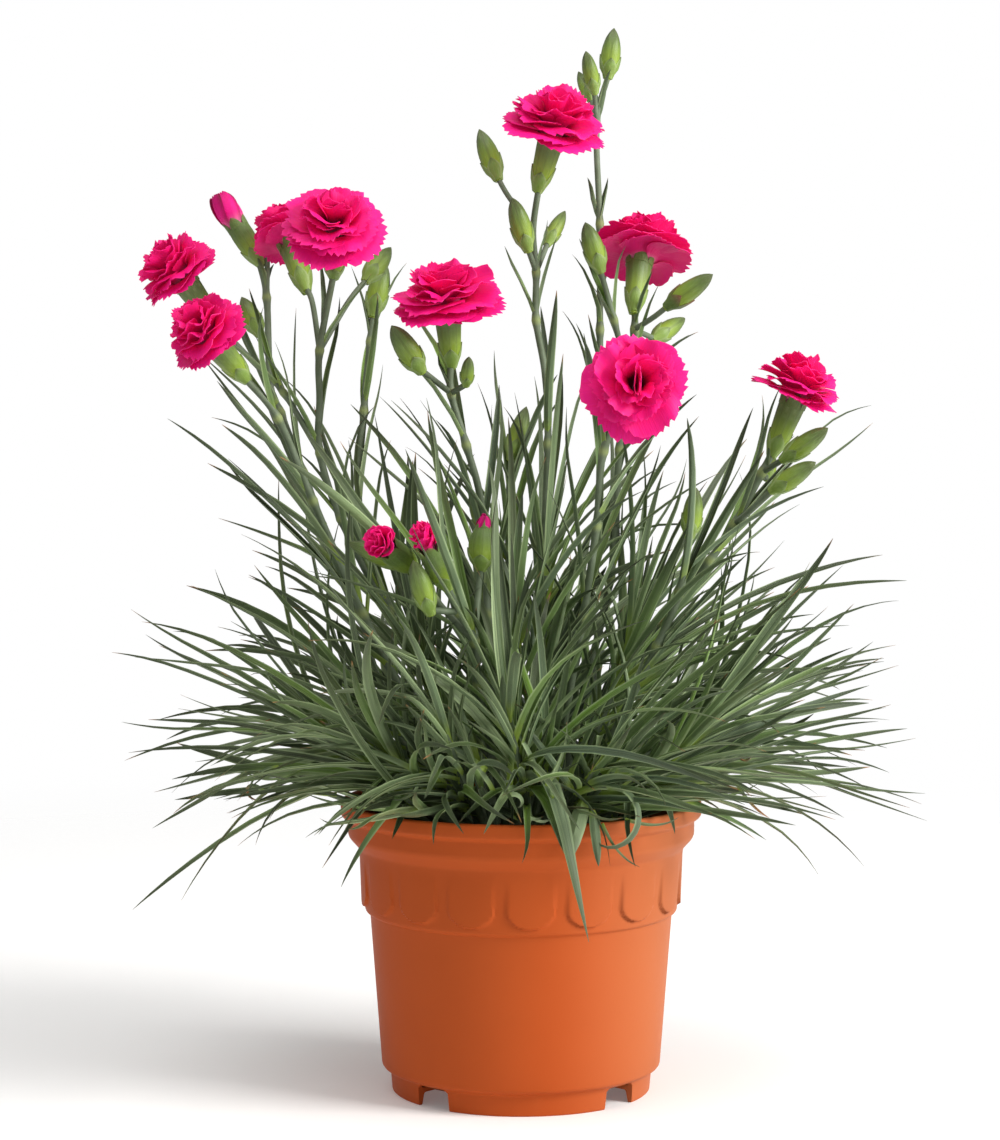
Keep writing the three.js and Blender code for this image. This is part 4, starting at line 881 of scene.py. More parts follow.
def buildRootstock(looks):
    rows, sides = taproot["rows"], taproot["sides"]
    share = np.linspace(0, 1, rows)
    height = taproot["heights"][0] + (taproot["heights"][-1] - taproot["heights"][0]) * share
    radius = np.interp(height, taproot["heights"], taproot["radii"])
    angle = np.arange(sides) * 2 * math.pi / sides
    ridges = np.cos(angle * taproot["ridges"])[None]
    lumps = softNoise(np.tile(angle * 3.2, (rows, 1)), np.repeat(height[:, None] / 4, sides, 1), 5)
    lumps = 1 + taproot["lump"] * lumps + taproot["ridge"] * ridges
    root = Growth()
    sway = taproot["sway"]
    places = np.stack([sway * np.sin(height / 7), sway * np.cos(height / 5), height], -1)
    root.loft(roundRings(places, radius, sides, lumps), marksFor(share[:, None], ridges, 0.5))
    root.piece("woody_base", looks, "bark", "rootstock", 60)


# A leaf's width, channel and thickness change along it, in pairs of a place from 0 to 1 and a share.
# Eight points round the blade: how far across, how much of the channel's lift, how far below, and how much
# underside.
blade = {"thickness": 0.5, "twist": 0.7, "sway": 1.3, "hook": 5.0, "narrow": (0.62, 0.26),
         "fold": (0.65, 0.7), "ownWidth": 4.6,
         "stations": (0, 0.03, 0.08, 0.16, 0.27, 0.4, 0.53, 0.66, 0.77, 0.86, 0.93, 0.975, 1),
         "width": ((0, 0.05, 0.2, 0.45, 0.7, 0.86, 0.95, 1), (0.6, 0.72, 1, 1, 0.84, 0.54, 0.26, 0.03)),
         "channel": ((0, 0.12, 0.4, 1), (1.15, 0.72, 0.5, 0.16)),
         "thin": ((0, 0.1, 0.8, 1), (0.8, 1, 0.75, 0.08)),
         "across": (1, 0.5, 0, -0.5, -1, -0.5, 0, 0.5), "lift": (1, 0.3, 0, 0.3, 1, 0.3, 0, 0.3),
         "below": (0, 0, 0, 0, 0, 0.75, 1, 0.75), "under": (0.5, 0, 0, 0, 0.5, 1, 1, 1.0)}


# A channelled blade on a line of points: flat holds how far along each point is, from 0 to 1.
def addBlade(piece, flat, points, across, up, width, roll, look, age):
    half = width / 2 * np.interp(flat, *blade["width"])
    fold = blade["fold"][0] + roll() * blade["fold"][1]
    lift = half * np.interp(flat, *blade["channel"]) * fold
    thick = blade["thickness"] * np.interp(flat, *blade["thin"])
    x = np.array(blade["across"])
    high = lift[:, None] * np.array(blade["lift"]) - thick[:, None] * np.array(blade["below"])
    rings = points[:, None] + across[:, None] * (half[:, None] * x)[..., None] + up[:, None] * high[..., None]
    piece.loft(rings, marksFor(flat[:, None], x[None], roll(), np.array(blade["under"])[None], age), look)


def addLeaf(piece, leaf, roll, look=0, age=0.0):
    t = np.array(blade["stations"][::2] if isShort(leaf) else blade["stations"])[:, None]
    points = leafPoint(leaf, t)
    along = (leaf["guide"] - leaf["root"]) * (1 - t) + (leaf["tip"] - leaf["guide"]) * t
    along /= np.linalg.norm(along, axis=1)[:, None]
    across = np.repeat(leafAcross(leaf)[None], len(t), 0)
    up = np.cross(along, across)
    turn = t * math.sqrt(2) * spread(roll, blade["twist"])
    across, up = across * np.cos(turn) + up * np.sin(turn), up * np.cos(turn) - across * np.sin(turn)
    points = points + across * np.sin(t * math.pi * (1 + roll() * 0.6)) * spread(roll, blade["sway"])
    hook = spread(roll, blade["hook"]) * (0.4 if isShort(leaf) else 1)
    points = points + up * hook * np.clip((t - 0.68) / 0.32, 0, 1) ** 2
    broad = leaf["width"] > blade["ownWidth"]  # keeps the width that it was given
    width = leaf["width"] * (1 if broad else blade["narrow"][0] + roll() * blade["narrow"][1])
    addBlade(piece, t[:, 0], points, across, up, width, roll, look, age)


# A young leaf that curls: it starts one way, bends toward another, and closes up towards its tip.
def addCurl(piece, root, run, toward, turns, width, age, roll):
    t = np.linspace(0, 1, 22)
    angle = turns * 2 * math.pi * t ** 1.5
    length, ahead = np.linalg.norm(run), unit(vec(*run))
    toward = unit(vec(*toward) - ahead * dot(vec(*toward), ahead))
    way = ahead * np.cos(angle)[:, None] + toward * np.sin(angle)[:, None]
    steps = (way[1:] + way[:-1]) / 2 * np.diff(t)[:, None] * length
    points = root + np.vstack([np.zeros((1, 3)), np.cumsum(steps, 0)])
    across = np.repeat(np.cross(ahead, toward)[None], len(t), 0)
    points = points + across * (t ** 1.2 * spread(roll, 0.1) * length)[:, None]
    addBlade(piece, t, points, across, np.cross(way, across) * -1, width, roll, 0, age)


# Leaves in front that curl, hang or stand, each grown from the nearest leaf: its foot, the run that it
# would have if it were straight, the way it bends, its turns, its width, and its age: -1 is young and pale,
# 1 is dry.
curls = [
    ((18, -50, 113), (48, -12, 17), (0.3, -0.5, -0.9), 0.8, 4.2, 0),
    ((-6, -60, 103), (-4, -3, 9), (1, -0.3, 0.2), 0.5, 2.2, -1),
    ((-4, -61, 104), (8, -4, 6), (0.3, 0, -1), 0.55, 2.2, -1),
    ((-3, -61, 101), (8, -4, -1), (-0.2, 0, -1), 0.45, 2.4, -1),
    ((-5, -61, 101), (6, -4, -5), (1, 0, 0.3), 0.4, 2.0, -1),
    ((6, -60, 105), (-2, -2, 8), (1, 0, 0), 0.6, 1.7, -1),
    ((4, -61, 103), (1, -4, -9), (1, 0, 0.4), 0.3, 2.0, -1),
    ((-10, -52, 108), (-11, -7, 24), (-1, 0, -0.2), 0.22, 2.8, -1),
    ((14, -54, 107), (-12, -6, 24), (-0.6, 0, 1), 0.08, 2.4, 0),
    ((15, -56, 112), (4, -2, 16), (-1, 0, 0), 0.1, 3.0, -1),
    ((19, -56, 107), (-5, -11, -19), (0, 0.6, -1), 0.05, 5.4, -1),
    ((20, -58, 102), (5, -8, -16), (0, 0.6, -1), 0.05, 3.2, 0),
    ((22, -60, 98), (10, -7, -16), (1, 0, 0.5), 0.12, 1.6, -1),
    ((-26, -50, 119), (-6, -10, -19), (-1, 0, 0.3), 0.3, 1.7, -1),
    ((-33, -52, 116), (-2, -6, -13), (-1, 0, 0), 0.35, 1.6, -1),
    ((-46, -46, 104), (-9, -6, -18), (-1, 0, 0.6), 0.3, 1.9, 0),
    ((-40, -48, 102), (-30, 0, -1), (0, 0, 1), 0.06, 1.9, 0),
    ((-29, -52, 106), (-34, -8, -24), (0, 0, -1), 0.06, 4.6, 0),
    ((-47, -40, 121), (-19, -8, 28), (0.4, 0, 1), 0.12, 2.6, -1),
    ((-29, -48, 121), (-38, -8, 11), (0, 0, -1), 0.12, 3.0, -1),
    ((-66, -30, 127), (-22, 0, 15), (0, 0, 1), 0.1, 1.8, -1),
    ((-76, -25, 110), (-20, 5, -2), (0.2, 0, -1), 0.3, 1.3, 0),
    ((-82, -20, 101), (-12, 0, 12), (0.8, 0, -1), 0.7, 1.5, 1),
    ((-70, -25, 110), (-18, 0, -10), (-1, 0, 0.3), 0.2, 1.4, 0),
    ((49, -36, 103), (28, -2, -4), (0, 0, 1), 0.13, 1.7, 0),
    ((70, -25, 107), (8, 0, -14), (1, 0, 0), 0.08, 1.5, 1),
    ((54, -30, 103), (26, -5, -12), (0, 0, -1), 0.04, 3.2, 0),
    ((70, -20, 117), (16, 0, 8), (0, 0.3, -1), 1.3, 1.3, 1),
    ((36, -54, 101), (13, -5, -8), (0.4, 0, 1), 0.15, 1.8, 0),
    ((-5, -44, 110), (7, -6, 75), (1, 0, 0), 0.03, 5.2, 0),
    ((-7, -46, 112), (27, -14, 40), (1, 0, -0.4), 0.06, 4.4, -1),
    ((11, -44, 110), (14, -8, 58), (1, 0, 0), 0.05, 4.2, 0),
    ((-13, -42, 112), (-18, -10, 60), (-1, 0, 0), 0.05, 4.8, 0),
    ((3, -42, 110), (9, -8, 72), (1, 0, 0), 0.03, 4.6, 0),
    ((17, -42, 110), (20, -6, 56), (1, 0, -0.3), 0.06, 4.6, 0),
    ((-10, -40, 110), (-7, 0, 70), (-1, 0, 0), 0.03, 4.8, 0),
    ((-21, -46, 111), (-8, -10, 46), (-1, 0, 0), 0.06, 4.2, -1),
    ((7, -50, 110), (-14, -8, 34), (-1, 0, -0.3), 0.08, 3.8, 0),
    ((25, -44, 111), (31, -6, 30), (0.5, 0, -1), 0.08, 4.4, 0),
    ((-17, -50, 110), (-28, -8, 30), (-0.6, 0, -1), 0.1, 4.4, 0),
]


def sortCurls():  # the curls of each shoot, each one from the nearest place on its leaves
    share = np.linspace(0.1, 0.9, 9)[:, None]
    rows = [(shoot["name"], leaf) for shoot in shoots for leaf in shoot["leaves"]]
    lines = np.array([leafPoint(leaf, share) for _, leaf in rows])
    found = {shoot["name"]: [] for shoot in shoots}
    for foot, *plan in curls:
        away = np.linalg.norm(lines - np.array(foot), axis=2)
        row, step = np.unravel_index(away.argmin(), away.shape)
        root, run = lines[row, step], plan[0]
        found[rows[row][0]].append((root, np.array(foot) + run - root, *plan[1:]))
    return found


# A flower stalk swells at its joints. Its looks are 0 stem, 1 leaf and 2 bud green.
stalkForm = {"steps": 12, "sides": 10, "joint": 1.9, "swelling": 0.42}


def addStemAxis(piece, axis, index, roll):
    base = [stemThickness(point, index, False) for point in axis["points"]]
    places, radii = smoothLine(axis["points"], base, stalkForm["steps"])
    close = np.zeros(len(places))
    for joint in axis["joints"]:
        away = np.linalg.norm(places - axis["points"][joint], axis=1)
        close = np.maximum(close, np.exp(-(away / stalkForm["joint"]) ** 2))
    radii = radii * (1 + stalkForm["swelling"] * close)
    sides = stalkForm["sides"]
    around = np.cos(np.arange(sides) * 2 * math.pi / sides)[None]
    piece.loft(roundRings(places, radii, sides),
               marksFor(close[:, None], around, roll(), 0.0, heightMark(places)))


def basisOf(along):
    side = unit(np.cross(along, vec(0, 1, 0) if abs(along[1]) < 0.8 else vec(1, 0, 0)))
    return side, np.cross(along, side)


# A thin scale that hugs a round thing: for each station a height on its axis, a radius and a half angle.
scaleForm = {"columns": 5, "thickness": 0.3, "crown": 0.12, "count": 4, "reach": (0.4, 0.34)}


def addScale(piece, base, along, azimuth, heights, radii, halfAngles, tone):
    side, front = basisOf(along)
    columns = scaleForm["columns"]
    share = np.linspace(-1, 1, columns)
    across = np.concatenate([share, share[::-1]])[None]
    turn = azimuth + np.array(halfAngles)[:, None] * across
    inner = np.repeat([0.0, 1.0], columns)[None]
    out = np.array(radii)[:, None] - inner * scaleForm["thickness"] + scaleForm["crown"] * (1 - across ** 2)
    rings = base + (along * np.array(heights)[:, None])[:, None]
    rings = rings + side * (np.cos(turn) * out)[..., None] + front * (np.sin(turn) * out)[..., None]
    step = np.linspace(0, 1, len(heights))[:, None]
    piece.loft(rings, marksFor(step, across, tone, inner, 1.0), 2)


# The two pairs of scales at the foot of a bud or calyx: lying gives their form and what they lie on.
def addFootScales(piece, plan, length, roll, lying, tone):
    rises = np.array(lying["rises"])
    for k in range(scaleForm["count"]):
        reach = scaleForm["reach"][k % 2] * (0.9 + roll() * lying["longer"])
        heights = rises / rises[-1] * reach * length
        size = np.interp(heights / length, lying["steps"], lying["size"]) * lying["scale"] + lying["gap"]
        turn = k * math.pi / 2 + spread(roll, lying["turned"])
        addScale(piece, plan["base"], plan["along"], turn, heights, size, lying["halfAngles"], tone)


bud = {"steps": (-0.1, 0, 0.05, 0.12, 0.22, 0.34, 0.46, 0.58, 0.7, 0.8, 0.88, 0.94, 1), "sides": 20,
       "fullness": (0.36, 0.46, 0.66, 0.84, 0.95, 1, 1, 0.96, 0.85, 0.7, 0.5, 0.3, 0.03), "folds": 5,
       "foldDepth": 0.16,
       "scales": {"rises": (-0.1, 0.02, 0.14, 0.27, 0.38, 0.47),
                  "halfAngles": (0.75, 0.95, 0.9, 0.7, 0.36, 0.02),
                  "gap": 0.22, "longer": 0.25, "turned": 0.12}}


def addBud(piece, plan, roll):
    run = plan["tip"] - plan["base"]
    length, along = math.sqrt(dot(run, run)), unit(run)
    steps, tone = np.array(bud["steps"]), roll()
    angle = np.arange(bud["sides"]) * 2 * math.pi / bud["sides"]
    groove = (1 - np.cos(bud["folds"] * angle))[None] / 2
    lumps = 1 - bud["foldDepth"] * groove * smoothStep(0.45, 0.9, steps)[:, None] - 0.03 * groove
    places = plan["base"] + along * (steps * length)[:, None]
    radii = np.array(bud["fullness"]) * plan["radius"]
    piece.loft(roundRings(places, radii, bud["sides"], lumps), marksFor(steps[:, None], groove, tone), 2)
    lying = {**bud["scales"], "steps": steps, "size": bud["fullness"], "scale": plan["radius"]}
    addFootScales(piece, {"base": plan["base"], "along": along}, length, roll, lying, tone)


# A calyx's width along its length, its size and the way its teeth lean, by how open its flower is. An opening
# bud's closes in again.
cup = {"steps": (-0.2, -0.1, 0, 0.08, 0.18, 0.35, 0.55, 0.75, 0.9, 1), "sides": 30, "ribs": 10,
       "ribHeight": 0.022,
       "scale": {"open": 1, "half": 0.86, "closed": 0.86, "tip": 0.75},
       "teeth": 5, "toothLength": 3.8, "toothRises": (-0.3, 0.1, 0.4, 0.7, 0.88, 1),
       "toothAngles": (0.5, 0.55, 0.46, 0.28, 0.14, 0.02),
       "scales": {"rises": (-0.2, -0.06, 0.08, 0.22, 0.33, 0.42),
                  "halfAngles": (0.8, 0.98, 0.9, 0.66, 0.34, 0.02),
                  "gap": 0.25, "longer": 0.2, "turned": 0.1},
       "size": {"open": (1.3, 1.8, 2.5, 3.0, 3.35, 3.7, 3.95, 4.2, 4.35, 4.4),
                "half": (1.3, 1.9, 2.7, 3.4, 4.0, 4.5, 4.8, 4.8, 4.6, 4.4),
                "closed": (1.3, 1.9, 2.6, 3.2, 3.7, 4.2, 4.5, 4.6, 4.5, 4.3),
                "tip": (1.3, 2.2, 3.4, 4.5, 5.3, 5.9, 6.0, 5.3, 4.2, 3.2)},
       "flare": {"open": 0.7, "half": 0.8, "closed": 0.3, "tip": -1.6}}


def addCalyx(piece, plan, roll):
    scale, along, tone = cup["scale"][plan["bloom"]], plan["along"], roll()
    length, form = calyx["length"] * scale, cup["size"][plan["bloom"]]
    steps = np.array([*cup["steps"], 1.0, 0.7])
    radii = np.array([*form, form[-1] - 0.3, form[-1] - 0.7]) * scale
    angle = np.arange(cup["sides"]) * 2 * math.pi / cup["sides"]
    ribs = np.cos(cup["ribs"] * angle)[None]
    lumps = 1 + cup["ribHeight"] * ribs * smoothStep(0.1, 0.4, steps)[:, None]
    places = plan["base"] + along * (steps * length)[:, None]
    _, across, up = framesAlong(places[:9])
    wide = np.cos(angle)[None] * radii[:, None] * lumps
    deep = np.sin(angle)[None] * radii[:, None] * lumps
    rings = places[:, None] + across[0] * wide[..., None] + up[0] * deep[..., None]
    piece.loft(rings, marksFor(steps[:, None], ribs, tone, 0.0, 0.4), 2)
    rise = np.array(cup["toothRises"])
    flare = (form[-1] + 0.12 + cup["flare"][plan["bloom"]] * np.clip(rise, 0, 1)) * scale
    for k in range(cup["teeth"]):  # its teeth lie under the petals
        turn = k * 2 * math.pi / cup["teeth"] + 0.3 + spread(roll, 0.08)
        heights = length + rise * (cup["toothLength"] * (0.8 + roll() * 0.4)) * scale
        addScale(piece, plan["base"], along, turn, heights, flare, cup["toothAngles"], 0.9 + roll() * 0.1)
    lying = {**cup["scales"], "steps": cup["steps"], "size": form, "scale": scale}
    addFootScales(piece, plan, length, roll, lying, tone)


petal = {"teeth": 13, "toothDepth": 0.055, "thickness": 0.2, "spread": 1.34, "corner": 0.17, "lap": 1.3,
         "rows": (0, 0.22, 0.38, 0.51, 0.62, 0.72, 0.8, 0.87, 0.92, 0.96, 1)}
# Of each whorl, from the outermost in: number of petals, height of the rim and how much it differs, size,
# height of the claw and of the crown, ruffle, how flat it is pressed, and how far from regular it is.
whorls = {
    "open": {"count": (5, 5, 5, 4, 2), "rim": (2.4, 6.6, 11.6, 14.8, 16.2),
             "differs": (0.7, 0.9, 1.6, 1.6, 0.8), "size": (1.0, 0.92, 0.74, 0.5, 0.32),
             "claw": (2.6, 4.6, 6.2, 7.6, 8.6), "crown": (5.2, 8.2, 10.0, 11.4, 12.4),
             "ruffle": (0.9, 1.3, 1.7, 1.5, 1.4), "flat": (1, 1, 1, 1, 0.16),
             "wild": (0.1, 0.35, 0.5, 0.6, 0.5)},
    "half": {"count": (5, 5, 5, 3), "rim": (5.6, 8.0, 9.2, 9.4), "differs": (0.8, 0.8, 0.8, 0.6),
             "size": (1.0, 0.8, 0.52, 0.28), "claw": (2.5, 4.0, 5.0, 5.0), "crown": (4.0, 6.0, 7.6, 7.6),
             "ruffle": (0.9, 1.0, 1.0, 0.7), "flat": (1, 1, 0.7, 0.6), "wild": (0.2, 0.4, 0.6, 0.6)},
}
# A bud's rolled petals: how high they rise and their width on the way. The depth marks them as rolled.
furl = {"rows": (0, 0.12, 0.25, 0.4, 0.55, 0.7, 0.8, 0.88, 0.95, 1), "columns": 13, "count": 5,
        "turn": 0.9, "angle": 0.95, "foot": -2, "depth": 2.0,
        "closed": {"rise": 15.5, "size": (0.6, 0.72, 0.86, 0.99, 1.05, 1.03, 0.97, 0.87, 0.74, 0.6)},
        "tip": {"rise": 5.8, "size": (0.66, 0.7, 0.74, 0.74, 0.7, 0.62, 0.54, 0.44, 0.34, 0.24)}}


# The face and the back of a thin sheet, as rings of one closed form.
def sheetRings(face):
    normal = np.cross(np.gradient(face, axis=0), np.gradient(face, axis=1))
    normal /= np.maximum(np.linalg.norm(normal, axis=-1), 1e-6)[..., None]
    return np.concatenate([face[:, ::-1], face - normal * petal["thickness"]], 1)


def sheetMarks(along, across, tone, depth):
    columns = across.shape[1]
    along = np.broadcast_to(along, (len(along), columns))
    along, across = [np.concatenate([mark[:, ::-1], mark], 1) for mark in (along, across)]
    return marksFor(along, across, tone, np.repeat([0.0, 1.0], columns)[None], depth)


def addPetal(piece, place, radius, whorl, depth, azimuth, roll, small):
    columns = petal["teeth"] * 2 + 1 if not small else petal["teeth"] + 1
    u = np.linspace(-1, 1, columns)[None]
    v = np.array(petal["rows"])[:, None]
    depths = [petal["toothDepth"] if j % 2 else 0.02 for j in range(columns)]
    notch = np.array([deep * (0.2 + 1.3 * roll()) for deep in depths])[None]
    w = v * (1 - petal["corner"] * np.abs(u) ** 3) - notch * smoothStep(0.9, 1, v)
    rim = whorl["rim"] + spread(roll, whorl["differs"])
    size = radius * whorl["size"] * (1 + spread(roll, 0.06 + 0.16 * whorl["wild"]))
    neck = (calyx["mouthRadius"] - 1.25) * (0.86 if small else 1)
    outs = (neck * 0.4, neck * 0.85 * min(1, whorl["size"] + 0.2), size * 0.42, size)
    highs = (-4, whorl["claw"], whorl["crown"] + spread(roll, 0.5), rim)
    shares = ((1 - w) ** 3, 3 * w * (1 - w) ** 2, 3 * w * w * (1 - w), w ** 3)
    out = sum(value * share for value, share in zip(outs, shares))
    high = sum(value * share for value, share in zip(highs, shares))
    half = math.pi / whorl["count"] * size * petal["spread"] * (0.1 + 0.9 * smoothStep(0.15, 0.86, w))
    waves, fine = 0.9 + roll() * (0.8 + whorl["wild"]), 2.6 + roll() * 1.4
    bend = 0.85 * np.sin(u * math.pi * waves + roll() * 6.3)
    bend = bend + (0.24 + 0.3 * whorl["wild"]) * np.sin(u * math.pi * fine + roll() * 6.3) * w * w
    lift = whorl["ruffle"] * bend * w ** 1.7 * (1 - 0.45 * np.abs(u) ** 2) + petal["lap"] * u * w
    turn = azimuth + u * half / np.maximum(out, neck * 0.8) + depth * 0.16 * np.sin(w * 5 + roll() * 6.3) * w
    steep = (rim - whorl["claw"]) / max(size, 1) * 0.7
    out = out - lift * min(max(steep, 0), 0.8)
    high = high + lift
    face = np.stack([out * np.cos(turn), out * np.sin(turn) * whorl["flat"], high], -1)
    piece.loft(place(sheetRings(face)), sheetMarks(w, u, roll(), depth))


def addFurledPetal(piece, place, radius, form, azimuth, roll):
    columns = furl["columns"]
    u, v = np.linspace(-1, 1, columns)[None], np.array(furl["rows"])[:, None]
    tooth = np.array([(j % 2) * roll() for j in range(columns)])[None]
    out = radius * np.array(form["size"])[:, None] * (1 + spread(roll, 0.04) * v)
    high = form["rise"] * (v * (1 - 0.06 * np.abs(u) ** 2.5) - 0.05 * tooth * smoothStep(0.9, 1, v))
    high = furl["foot"] + high + spread(roll, 0.6) * v
    turn = azimuth + u * furl["angle"] + v * furl["turn"]
    out = out + 0.4 * u * (0.3 + v) + 0.16 * np.cos(u * 8 + roll() * 6) * v
    face = np.stack([out * np.cos(turn), out * np.sin(turn), high], -1)
    piece.loft(place(sheetRings(face)), sheetMarks(0.45 + 0.55 * v, u, roll(), furl["depth"]))


def buildBloom(number, plan, looks):
    along = plan["along"]
    side, front = basisOf(along)
    mouth = plan["base"] + along * calyx["length"] * cup["scale"][plan["bloom"]]
    roll = dice(seeds["flowers"] + number * 31)
    flower = Growth()

    def place(local):
        return mouth + side * local[..., 0:1] + front * local[..., 1:2] + along * local[..., 2:3]

    if plan["bloom"] in furl:
        for k in range(furl["count"]):
            addFurledPetal(flower, place, plan["radius"], furl[plan["bloom"]],
                           k * 2 * math.pi / furl["count"], roll)
    else:
        kinds = whorls[plan["bloom"]]
        rows = [dict(zip(kinds, values)) for values in zip(*kinds.values())]
        small = plan["bloom"] == "half"
        start = roll() * 6.3
        for level, whorl in enumerate(rows):
            for k in range(whorl["count"]):
                turn = start + level * 0.9 + k * 2 * math.pi / whorl["count"]
                turn = turn + spread(roll, 0.1 + 0.4 * whorl["wild"])
                addPetal(flower, place, plan["radius"], whorl, level / (len(rows) - 1), turn, roll, small)
    flower.piece(f"flower_{number:02d}", looks, "petal", f"bloom_{number:02d}", 50)


grownCurls = sortCurls()


def buildShoot(shoot, looks, node, name):  # a side shoot has no node of its own
    piece = Growth()
    number = int(shoot["name"][-2:])
    roll = dice(seeds["shootForms"] + number * 17 + (0 if node else 500))
    axis = shoot["axes"][0]
    places, radii = smoothLine(axis["points"], axis["radii"], 8)
    piece.loft(roundRings(places, radii, 9), marksFor(0.3, 0.0, roll(), 0.0, heightMark(places)), 1)
    for leaf in shoot["leaves"]:  # low leaves may be old and pale
        low = max(0.0, 1 - (leaf["root"][2] - soil["surface"]) / 30)
        addLeaf(piece, leaf, roll, 0, low * roll())
    for curl in grownCurls.get(shoot["name"], []):
        addCurl(piece, *curl, roll)
    piece.piece(name, looks, "leaf", node)


# A joint without long leaves has a short pair, which is longer lower down.
bract = {"above": 135, "length": 11, "longerBelow": 190, "longer": 0.3, "opening": 0.2, "width": 2.6,
         "droop": 0.02}


def buildFlowerStem(stem, looks):
    piece = Growth()
    number = int(stem["name"][-2:])
    roll = dice(seeds["stalkForms"] + number * 23)
    for index, axis in enumerate(stem["axes"]):
        addStemAxis(piece, axis, index, roll)
    for leaf in stem["leaves"]:
        addLeaf(piece, leaf, roll, 1)
    for order, joint in enumerate(stem["joints"]):
        height = joint["point"][2]
        grown = sum(np.abs(leaf["root"] - joint["point"]).max() < 1e-6 for leaf in stem["leaves"])
        for side in range(2 - min(grown, 2) if height > bract["above"] else 0):
            length = bract["length"] + roll() * 9 + max(0, bract["longerBelow"] - height) * bract["longer"]
            opening, width = bract["opening"] + roll() * 0.15, bract["width"] + roll() * 0.6
            short = drawLeaf(joint, pairTurn(order, side) + number, opening, length, width, bract["droop"])
            addLeaf(piece, short, roll, 1)
    for plan in stem["buds"]:
        addBud(piece, plan, roll)
    for plan in stem["calyces"]:
        addCalyx(piece, plan, roll)
    piece.piece(stem["name"].replace("flower_stem", "flower_stalk"), looks, "stem", stem["name"])


def colour(red, green, blue):  # screen colour, 0 to 255, as the light that a shader needs
    shares = [c / 255 / 12.92 if c < 10 else ((c / 255 + 0.055) / 1.055) ** 2.4 for c in (red, green, blue)]
    return (*shares, 1)


class Wire:  # a socket that takes part in plain maths
    def __init__(self, look, socket):
        self.look, self.socket = look, socket

    def maths(self, operation, *values):
        return self.look.node("Math", {"operation": operation}, dict(enumerate(values)))

    def __add__(self, other):
        return self.maths("ADD", self, other)

    def __sub__(self, other):
        return self.maths("SUBTRACT", self, other)

    def __rsub__(self, other):
        return self.maths("SUBTRACT", other, self)

    def __mul__(self, other):
        return self.maths("MULTIPLY", self, other)

    def __abs__(self):
        return self.maths("ABSOLUTE", self)

    __radd__ = __add__
    __rmul__ = __mul__

    def step(self, low, high):  # 0 below low, 1 above high, smooth between
        return self.look.node("MapRange", {"interpolation_type": "SMOOTHSTEP"},
                              {"Value": self, "From Min": low, "From Max": high})


class Look:  # the nodes of one material or world
    def __init__(self, owner):
        self.owner = owner
        owner.use_nodes = True
        self.tree = owner.node_tree
        self.shader = self.tree.nodes.get("Principled BSDF")

    # Any node: its type, its settings, the values or links of its sockets, and the output that is wanted.
    def node(self, kind, settings, sockets, output=0):
        made = self.tree.nodes.new("ShaderNode" + kind)
        for name, value in settings.items():
            setattr(made, name, value)
        for name, value in sockets.items():
            self.feed(made.inputs[name], value)
        return Wire(self, made.outputs[output] if made.outputs else None)

    def feed(self, socket, value):
        if isinstance(value, Wire):
            self.tree.links.new(value.socket, socket)
        else:
            socket.default_value = value

    def mark(self, name):
        return self.node("Attribute", {"attribute_name": name}, {}, "Fac")

    def mix(self, share, first, second):  # of two colours
        return self.node("Mix", {"data_type": "RGBA"}, {0: share, 6: first, 7: second}, 2)

    def cover(self, shade, finish, layers):  # lays named colours over a shade, each by its share
        for name, share in layers:
            shade = self.mix(share, shade, finish[name])
        return shade

    def place(self):
        return self.node("TexCoord", {}, {}, "Object")

    def vector(self, x, y, z):
        return self.node("CombineXYZ", {}, {0: x, 1: y, 2: z})

    def noise(self, vector, scale, detail=3.0, rough=0.55):
        return self.node("TexNoise", {},
                         {"Vector": vector, "Scale": scale, "Detail": detail, "Roughness": rough})

    def lot(self, value):  # another random share for the same value
        return self.node("TexWhiteNoise", {"noise_dimensions": "1D"}, {"W": value})

    def side(self, low, high, left=False):  # how far to the right, or to the left, of the plant
        share = self.node("SeparateXYZ", {}, {0: self.place()}, 0).step(low, high)
        return 1 - share if left else share

    def bump(self, height, strength, distance):
        return self.node("Bump", {}, {"Height": height, "Strength": strength, "Distance": distance})

    def finish(self, **sockets):
        for name, value in sockets.items():
            self.feed(self.shader.inputs[name.replace("_", " ")], value)
        return self.owner


def newLook(name):
    return Look(bpy.data.materials.new(name))


leafFinish = {"blue": colour(94, 114, 92), "green": colour(84, 110, 50), "deep": colour(36, 46, 24),
              "tip": colour(44, 52, 30), "paintedBacklitOlive": colour(88, 100, 34), "fresh": colour(116, 156, 44),
              "pale": colour(168, 188, 140), "under": colour(110, 130, 94), "base": colour(150, 176, 60),
              "dry": colour(160, 112, 66), "roughness": 0.46, "sheen": 0.32}


